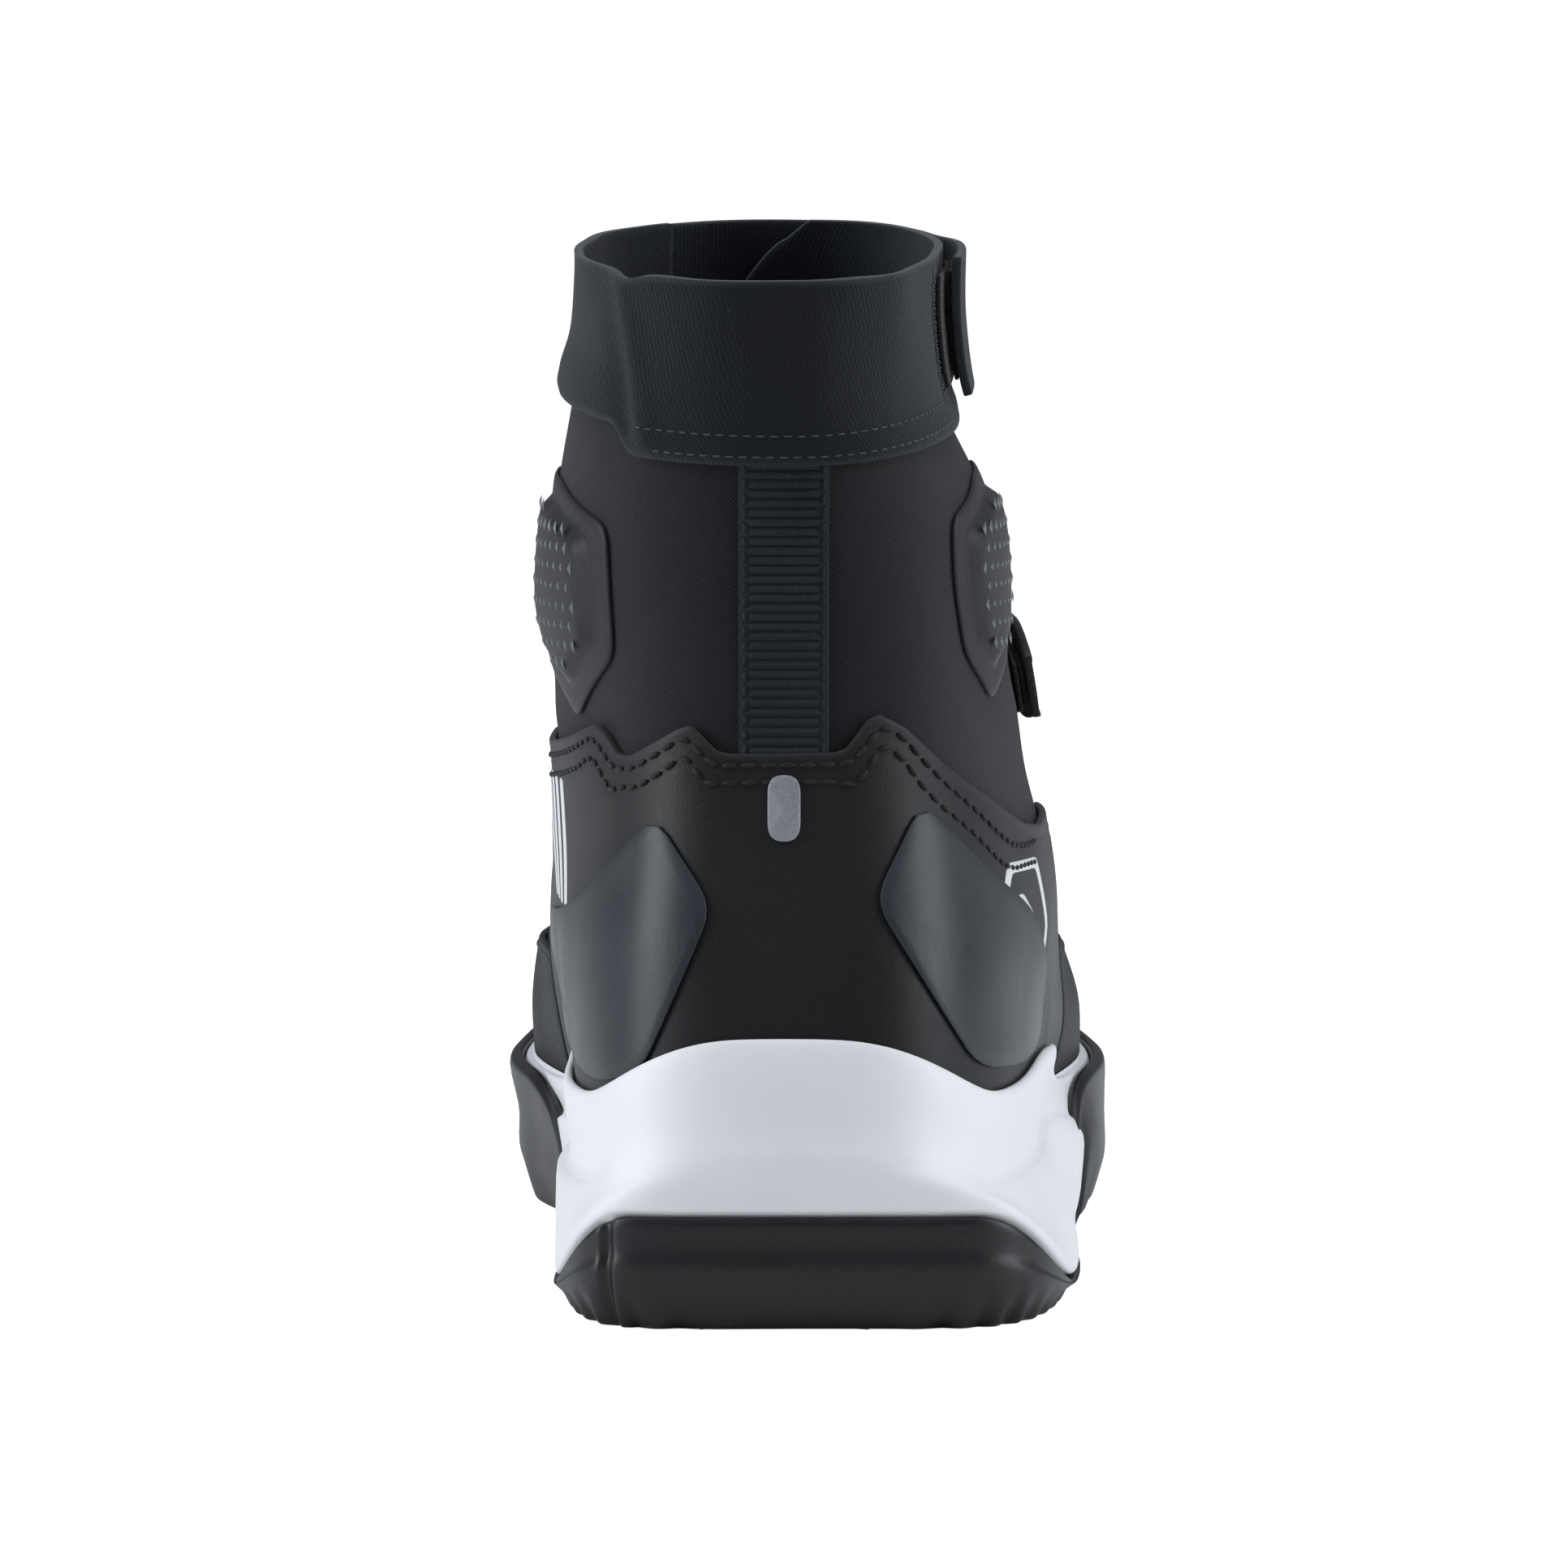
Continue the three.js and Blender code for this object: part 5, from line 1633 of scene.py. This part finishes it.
@dataclass
class Lacing(Assembly):
    """Eyestays, wire loops, the lace and the tabs that hold its ends."""

    high: float = 1.65
    low: float = 0.35
    start: float = 4.75
    stop: float = 7.2
    seat: float = 28.0
    top_row: float = 6.02
    rows: int = 3
    lace: float = 1.2
    wire: float = 0.8
    loop: float = 3.8
    play: float = 2.4

    @property
    def lace_height(self) -> float:
        """The height of the lace's middle over the last."""
        return self.high + 0.7 + self.lace

    def level(self, row: float) -> float:
        """The level of a row of loops."""
        return mix(self.start + 0.3, self.top_row, row / (self.rows - 1))

    def stand(self, side: int, row: float) -> tuple[Array, Array, Array, Array]:
        """The foot of a loop, with the directions off the boot, up the throat and away from it.

        Args:
            side: +1 for the outer side, -1 for the inner side.
            row: the row, counted from the lowest loops.

        Returns:
            The foot and the three directions.
        """
        level = np.array([self.level(row)])
        angle = self.last.from_front(level, np.array([side * self.seat]))
        foot, up = self.last.at(angle, level)[0], self.last.outward(angle, level)[0]
        ahead = self.last.from_front(level + 0.02, np.array([side * self.seat]))
        forward = unit(self.last.at(ahead, level + 0.02)[0] - foot)
        return foot, up, forward, unit(np.cross(up, forward)) * side

    def make_eyestay(self, side: int, word: str) -> None:
        """The strip of microfibre beside the throat, with a row of stitches.

        Args:
            side: +1 for the outer side, -1 for the inner side.
            word: the side's name, used in the piece's name.
        """

        def where(u: Array, v: Array) -> tuple[Array, Array, Array]:
            """Spreads the strip along the throat."""
            level = mix(self.start, self.stop, v)
            x = side * mix(34.0, 22.0, u if side > 0 else 1 - u)
            limit = 0.93 * np.abs(self.last.at(side * math.pi / 2, level)[..., 0])
            x = np.sign(x) * np.minimum(np.abs(x), limit)
            return self.last.from_front(level, x), level, np.full(u.shape, self.high)

        strip = self.sheet(f"eyestay_{word}_strip", 12, 48, where, self.high - self.low, "microfibre", 0.3)
        self.settle(strip, "boot", "microfibre", f"eyestay_{word}")
        level = np.linspace(self.start + 0.08, self.stop - 0.08, 80)
        angle = self.last.from_front(level, np.full(80, side * 23.6))
        name, height = f"eyestay_stitches_{word}", self.high + 0.05
        self.stitches(name, angle, level, height, "pale_thread", 2.2, 0.28)

    def make_loop(self, side: int, word: str, row: int) -> None:
        """A wire arch that the lace passes through.

        Args:
            side: +1 for the outer side, -1 for the inner side.
            word: the side's name, used in the piece's name.
            row: the row, counted from the lowest loops.
        """
        foot, up, forward, _ = self.stand(side, row)
        turn = np.linspace(0, math.pi, 25)[:, None]
        rise = self.high + self.low + self.wire + self.loop * np.sin(turn)
        path = foot + forward * self.loop * np.cos(turn) + up * rise
        node = f"lace_loop_{word}_{row + 1}"
        piece = self.tube(f"{node}_wire", path, self.wire, 12, "spring_steel_coated")
        self.settle(piece, "boot", "steel", node)

    def tip(self, side: int, way: int) -> tuple[Array, Array, Array, Array]:
        """Where a lace end goes into its tab, and the tab's directions.

        Args:
            side: +1 for the outer side, -1 for the inner side.
            way: -1 at the lace's lower end, +1 at its upper end.

        Returns:
            The middle and the three directions.
        """
        foot, up, forward, away = self.stand(side, -0.85 if way < 0 else self.rows - 1 + 0.85)
        middle = foot + away * 4.0 + up * self.lace_height
        return middle, up, forward, away

    def make_lace(self) -> None:
        """One braided lace that runs from its anchor through every loop to its garage."""
        points = []

        def cross(side: int, row: int) -> None:
            """The run over the throat."""
            for share in (0.12, 0.31, 0.5, 0.69, 0.88):
                level = np.array([self.level(row) + 0.17 + 0.45 * math.sin(math.pi * share)])
                x = np.array([side * (self.seat - self.play - 1) * (1 - 2 * share)])
                angle, height = self.last.from_front(level, x), np.array([self.lace_height + 0.4])
                points.append(self.last.off(angle, level, height)[0])

        def through_loop(side: int, row: int, ways: Sequence[int]) -> None:
            """The run through one loop."""
            foot, up, _, away = self.stand(side, row)
            points.extend(foot + up * self.lace_height + away * way * self.play for way in ways)

        middle, _, forward, _ = self.tip(-1, -1)
        points.append(middle + forward * 2.85)
        side = -1
        for row in range(self.rows):
            through_loop(side, row, (1, 0, -1))
            cross(side, row)
            side = -side
            through_loop(side, row, (-1, 0, 1))
            if row + 1 < self.rows:
                level = np.array([self.level(row + 0.5)])
                angle = self.last.from_front(level, np.array([side * (self.seat + 4.0)]))
                points.append(self.last.off(angle, level, np.array([self.lace_height]))[0])
            else:
                middle, _, forward, _ = self.tip(side, 1)
                points.append(middle - forward * 2.85)
        line = np.array(points)
        path = through(line, np.linspace(0, len(line) - 1, 12 * len(line)))
        self.settle(self.tube("lace_cord", path, self.lace, 14, "braid"), "boot", "cord", "lace")

    def make_tab(self, side: int, way: int, name: str, node: str) -> None:
        """A small folded tab that holds one end of the lace.

        Args:
            side: +1 for the outer side, -1 for the inner side.
            way: -1 at the lace's lower end, +1 at its upper end.
            name: the piece's name.
            node: the plain part that it stands for.
        """
        middle, up, _, away = self.tip(side, way)
        bm = bmesh.new()
        axes = Matrix((away, np.cross(up, away), up)).transposed().to_4x4()
        low, high = self.high + 0.7 - self.lace_height, self.lace
        size = Matrix.Diagonal((5 * MM, 5 * MM, (high - low) * MM, 1))
        spot = Matrix.Translation(self.last.place(middle + up * (low + high) / 2))
        bmesh.ops.create_cube(bm, size=1.0, matrix=spot @ axes @ size)
        bmesh.ops.subdivide_edges(bm, edges=bm.edges, cuts=3, use_grid_fill=True)
        every = {"use_axis_x": True, "use_axis_y": True, "use_axis_z": True}
        bmesh.ops.smooth_vert(bm, verts=bm.verts, factor=0.35, **every)
        piece = self.finish_mesh(name, bm, "webbing_plain")
        self.settle(piece, "boot", "webbing", node)

    def build(self) -> None:
        """Makes the whole lacing."""
        for side, word in ((1, "lateral"), (-1, "medial")):
            self.make_eyestay(side, word)
            for row in range(self.rows):
                self.make_loop(side, word, row)
        self.make_lace()
        self.make_tab(-1, -1, "lace_anchor_tab", "lace_anchor")
        self.make_tab(1, 1, "lace_garage_tab", "lace_garage")


@dataclass
class AnkleStrap(Assembly):
    """The strap over the instep: its root on the inner side, its tip with hook tape on the outer side."""

    width: float = 24.0
    wall: float = 1.4
    face: float = 2.45
    hook_face: float = 1.4
    loop_face: float = 0.35
    tape: float = 0.7
    peak: float = 7.5
    hinge: float = 0.76

    def middle(self, share: Array) -> tuple[Array, Array]:
        """Angle and level of the strap's middle line, from its tip to its seam.

        Args:
            share: how far along the strap, from 0 to 1.

        Returns:
            The angles and the levels.
        """
        (start,), (low,) = self.last.from_side(1, np.array([84.0]), np.array([102.0]))
        (stop,), (end,) = self.last.from_side(-1, np.array([92.0]), np.array([108.0]))
        level = mix(mix(low, end, share), self.peak, np.sin(math.pi * share) ** 1.2)
        return mix(start, stop + 2 * math.pi, share), level

    def strip(
        self,
        name: str,
        start: float,
        stop: float,
        width: float,
        columns: int,
        height: Callable[[Array], Array],
        wall: float,
        finish: str,
    ) -> bpy.types.Object:
        """A length of strap or tape at a height over the last.

        Args:
            name: the piece's name.
            start: the share of the strap at which it starts.
            stop: the share at which it stops.
            width: its width.
            columns: faces along it.
            height: gives the outer face's height for shares of the strap.
            wall: its thickness.
            finish: the finish's name.

        Returns:
            The piece.
        """

        def where(u: Array, v: Array) -> tuple[Array, Array, Array]:
            """Spreads the strip over its length."""
            share = mix(start, stop, u)
            angle, middle = self.middle(np.clip(share, 0, 1))
            taper = mix(0.55, 1.0, ease(share, 0, 0.07))
            step = self.last.at(angle, middle + 0.25) - self.last.at(angle, middle - 0.25)
            per_level = 2 * np.linalg.norm(step, axis=-1)
            ridge = 0.18 * ease(np.abs(v - 0.5), 0.38, 0.44) if finish == "webbing_plain" else 0.0
            return angle, middle + (v - 0.5) * width * taper / per_level, height(share) + ridge

        return self.sheet(name, columns, 16, where, wall, finish, 0.3)

    def lift(self, share: Array) -> Array:
        """The height of the strap's outer face, which falls to the upper at its seam."""
        return mix(self.face, 0.0, ease(share, 0.80, 0.93)) + self.wall

    def point(self, share: float, height: float) -> Vector:
        """A point over the strap's middle line, in the frame."""
        angle, level = self.middle(np.array([share]))
        return Vector(self.last.place(self.last.off(angle, level, np.array([height])))[0])

    def make_tape(
        self, kind: str, body: str, start: float, stop: float, width: float, face: float
    ) -> None:
        """Makes one of the two tapes between the strap and the shaft.

        Args:
            kind: "hook" or "loop".
            body: the body that it rides on.
            start: the share of the strap at which it starts.
            stop: the share at which it stops.
            width: its width.
            face: the height of its back.
        """
        node, top = f"ankle_strap_{kind}", face + self.tape
        tape = self.strip(
            f"{node}_tape", start, stop, width, 20, lambda s: 0 * s + top, self.tape, "hook_tape"
        )
        self.settle(tape, body, "hook_and_loop", node)

    def build(self) -> None:
        """Makes the strap, its tapes and its stitches."""
        web = "webbing_plain"
        strap = self.strip("ankle_strap_web", 0.0, 0.94, self.width, 150, self.lift, self.wall, web)
        start, end = self.point(self.hinge + 0.03, 3.3), self.point(self.hinge - 0.02, 3.3)
        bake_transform(strap)
        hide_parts("ankle_strap", "ankle_strap_root")
        LOG.info("%s: %d faces on boot and ankle_strap", strap.name, len(strap.data.polygons))
        self.make_tape("hook", "ankle_strap", 0.01, 0.12, 16, self.hook_face)
        self.make_tape("loop", "boot", 0.005, 0.1, 19, self.loop_face)
        share = np.linspace(0.02, 0.7, 160)
        angle, level = self.middle(share)
        step = self.last.at(angle, level + 0.25) - self.last.at(angle, level - 0.25)
        reach = 9.2 / (2 * np.linalg.norm(step, axis=-1)) * mix(0.55, 1.0, ease(share, 0, 0.07))
        height = self.face + self.wall + 0.05
        for n, sign in enumerate((-1, 1)):
            name = f"strap_stitches_{n + 1}"
            self.stitches(name, angle, level + sign * reach, height, "thread", 2.6, 0.3, body="ankle_strap")


@dataclass
class Collar(Assembly):
    """The stretch collar: a band round the shaft, and the flap that closes over its front."""

    wall: float = 1.6
    drop: float = 31.0
    seam: float = math.radians(-150)
    end: float = math.radians(194)
    tip: float = math.radians(80)
    root: float = math.radians(219)
    face: float = 0.35
    tape: float = 0.7
    clear: float = 0.35

    def low(self, angle: Array) -> Array:
        """The level of the collar's lower edge, lowest at the heel.

        Args:
            angle: angles round the foot.

        Returns:
            The levels.
        """
        share = (1 - np.cos(angle)) / 2
        rim = self.last.at(angle, np.full(np.shape(angle), 11.0))[..., 2]
        return self.last.level_at(angle, rim - self.drop * mix(1.0, 0.88, share))

    def drape(self, angle: Array, v: Array) -> Array:
        """The knit's soft folds: one slanted fold inside the heel, and a little fullness elsewhere.

        Args:
            angle: angles round the foot.
            v: shares of the way up the band.

        Returns:
            The heights.
        """
        fold = 0.9 * bell(angle, mix(-0.52, -0.80, v), 0.07) * ease(v, 0.0, 0.1) * (1 - 0.5 * v)
        pinch = 0.7 * bell(angle, mix(-0.64, -0.94, v), 0.09)
        bulge = 1.3 * bell(angle, -1.3, 0.5) * bell(v, 0.14, 0.16)
        waves = 0.3 * np.sin(7 * angle + 4 * v) + 0.15 * np.sin(13 * angle - 3 * v + 1)
        return fold - pinch * (1 - v) + bulge + waves * v

    def make_band(self) -> None:
        """The band with its slanted inner end."""

        def where(u: Array, v: Array) -> tuple[Array, Array, Array]:
            """Spreads the band round the shaft."""
            angle = mix(self.seam, mix(math.radians(205), math.radians(174), v), u)
            dip = 0.16 * bell(angle, -0.75, 0.12) - 0.10 * bell(angle, -1.15, 0.2)
            hem = 0.35 * ease(-angle, 0.62, 0.78) * (1 - ease(-angle, 1.7, 2.1)) * (angle < 0)
            level = mix(self.low(angle) + hem, 11.05 - dip, v)
            tuck = 1.6 * ease(angle, math.radians(150), math.radians(190))
            folded = self.drape(angle, v) * (1 - ease(np.abs(angle), 1.2, 1.6) * (angle > 0))
            thick = 0.35 * bell(v, 0.055, 0.05)
            return angle, level, self.face + self.wall + folded + thick - tuck

        band = self.sheet("collar_band_knit", 200, 44, where, self.wall, "knit", 0.45)
        self.settle(band, "boot", "stretch_knit", "collar_band")
        for n, (share, start, stop) in enumerate(((0.045, -0.5, 1.2), (0.15, -0.6, 1.2))):
            angle = np.linspace(start, stop, 240)
            level = mix(self.low(angle), 11.05, share)
            height = self.face + self.wall + self.drape(angle, np.full(240, share))
            height = height + 0.05 + 0.3 * bell(share, 0.055, 0.05)
            self.knit_row(f"collar_stitches_{n + 1}", angle, level, height)

    def knit_row(self, name: str, angle: Array, level: Array, height: Array) -> None:
        """Sews fine stitches that follow the folds of the knit.

        Args:
            name: the row's name.
            angle: the line's angles.
            level: the line's levels.
            height: the line's heights over the last.
        """
        self.sew(name, angle, level, height, "pale_thread", 2.3, 1.2, 0.5, (0.8, 0.17, 0.15), "boot")

    def flap_face(self, turn: Array) -> Array:
        """The flap's height: it lies on the band and rides over the tapes at its tip."""
        over = 1 - ease(turn, self.tip + math.radians(30), self.tip + math.radians(46))
        return self.face + self.wall + self.clear + over * 2 * (self.tape + self.clear)

    def make_flap(self) -> None:
        """The flap, slack over the front and flat at its tip."""

        def where(u: Array, v: Array) -> tuple[Array, Array, Array]:
            """Spreads the flap over the front."""
            turn = mix(self.tip - 0.03 * (1 - v), self.root, u)
            level = mix(self.low(turn) + 0.25, 10.98, v)
            waves = 0.25 * np.sin(9 * turn + 3 * v) * ease(turn, self.tip + 0.9, self.tip + 1.3)
            return turn, level, self.flap_face(turn) + self.wall + waves

        flap = self.sheet("collar_flap_knit", 110, 36, where, self.wall, "knit", 0.45)
        self.settle(flap, "collar_flap", "stretch_knit", "collar_flap")

    def tape_piece(self, name: str, start: float, stop: float, face: float, body: str, node: str) -> None:
        """A piece of hook or loop tape under the flap's tip.

        Args:
            name: the piece's name.
            start: the angle at which it starts, in degrees.
            stop: the angle at which it stops, in degrees.
            face: the height of its back.
            body: the body that it rides on.
            node: the plain part that it stands for.
        """

        def where(u: Array, v: Array) -> tuple[Array, Array, Array]:
            """Spreads the tape."""
            turn = math.radians(1) * mix(start, stop, u)
            return turn, mix(self.low(turn) + 0.45, 10.7, v), np.full(u.shape, face + self.tape)

        self.settle(self.sheet(name, 24, 28, where, self.tape, "hook_tape", 0.2), body, "hook_and_loop", node)

    def make_zigzag(self) -> None:
        """The zigzag stitches along the edge of the loop tape."""
        v = np.linspace(0.08, 0.95, 90)
        angle = math.radians(71.5) + 0.035 * np.sign(np.sin(np.arange(90) * math.pi / 2 + 0.1))
        level = mix(self.low(angle), 11.0, v)
        height = np.full(90, self.face + self.wall + 0.1)
        self.knit_row("collar_zigzag", angle, level, height)

    def build(self) -> None:
        """Makes the collar."""
        self.make_band()
        self.make_flap()
        base = self.face + self.wall + self.clear
        over = base + self.tape + self.clear
        self.tape_piece("collar_loop_tape", 73, 104, base, "boot", "collar_loop")
        self.tape_piece("collar_hook_tape", 82, 106, over, "collar_flap", "collar_hook")
        self.make_zigzag()


# ---------------------------------------------------------------- the studio


@dataclass
class Studio:
    """The pale floor, the soft lights and the camera behind the heel."""

    last: Last
    camera_back: float = 1700.0
    camera_height: float = 231.0
    lens: float = 234.4
    tilt: float = 4.66
    ambient: float = 0.2

    def make_floor(self) -> None:
        """A wide pale floor that the lens sees evenly lit."""
        bm = bmesh.new()
        bmesh.ops.create_grid(bm, x_segments=1, y_segments=1, size=60.0)
        mesh = bpy.data.meshes.new("floor")
        bm.to_mesh(mesh)
        bm.free()
        floor = bpy.data.objects.new("floor", mesh)
        bpy.context.scene.collection.objects.link(floor)
        paint = Paint("floor_paint")
        tone = paint.noise(paint.surface(False), 3, 2)
        colour = paint.blend(tone, dye(0xf4f4f4), dye(0xf8f8f8))
        seen = paint.node("ShaderNodeLightPath", out="Is Camera Ray")
        sockets = {"Base Color": colour, "Roughness": 0.7, "Emission Color": seen, "Emission Strength": 0.9}
        shader = paint.node("ShaderNodeBsdfPrincipled", {}, sockets)
        paint.node("ShaderNodeOutputMaterial", {}, {"Surface": shader})
        mesh.materials.append(paint.material)

    def make_light(self, name: str, place: tuple[float, float, float], size: Pair, power: float) -> None:
        """One soft box aimed at the boot.

        Args:
            name: the light's name.
            place: where it stands.
            size: its width and height.
            power: its power in watts.
        """
        light = bpy.data.lights.new(name, "AREA")
        light.color = (0.93, 0.965, 1.0)
        light.shape, light.size, light.size_y, light.energy = "RECTANGLE", *size, power
        obj = bpy.data.objects.new(name, light)
        obj.location = place
        obj.rotation_euler = (Vector((0, -0.05, 0.09)) - Vector(place)).to_track_quat("-Z", "Y").to_euler()
        bpy.context.scene.collection.objects.link(obj)

    def build(self) -> None:
        """Sets up the world, lights, floor and camera."""
        scene = bpy.context.scene
        scene.view_settings.view_transform = "Standard"
        world = bpy.data.worlds.new("studio")
        world.use_nodes = True
        sky = world.node_tree.nodes["Background"]
        sky.inputs["Color"].default_value = (0.90, 0.95, 1.0, 1.0)
        seen = world.node_tree.nodes.new("ShaderNodeLightPath")
        level = world.node_tree.nodes.new("ShaderNodeMapRange")
        level.inputs["To Min"].default_value = self.ambient
        world.node_tree.links.new(seen.outputs["Is Camera Ray"], level.inputs["Value"])
        world.node_tree.links.new(level.outputs[0], sky.inputs["Strength"])
        scene.world = world
        self.make_floor()
        self.make_light("left_box", (-1.8, -0.3, 0.8), (1.0, 1.6), 24)
        self.make_light("right_box", (1.8, -0.2, 0.8), (1.0, 1.6), 21)
        self.make_light("top_box", (0.0, 0.0, 1.9), (2.0, 2.0), 17)
        self.make_light("near_box", (0.0, -2.4, 1.6), (1.8, 0.9), 3)
        camera = bpy.data.cameras.new("camera")
        camera.sensor_width, camera.lens = 36.0, self.lens
        obj = bpy.data.objects.new("camera", camera)
        obj.location = self.last.place(np.array([0.0, -self.camera_back, self.camera_height]))
        obj.rotation_euler = (math.radians(90 - self.tilt), 0, 0)
        scene.collection.objects.link(obj)
        scene.camera = obj


def main() -> None:
    """Builds every sub-assembly of the boot and its studio."""
    logging.basicConfig(level=logging.INFO, format="%(message)s")
    low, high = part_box("shank")
    last = Last(shift=((low.x + high.x) / 2 / MM, (low.y + high.y) / 2 / MM - 105.0))
    Studio(last).build()
    dyes = {name: finish.material() for name, finish in FINISHES.items()}
    for part in (SoleUnit, Upper, HeelTrim, AnkleGuards, Forefoot, Lacing, AnkleStrap, Collar):
        LOG.info("building %s", part.__name__)
        part(last, dyes).build()


if __name__ == "__main__":
    main()
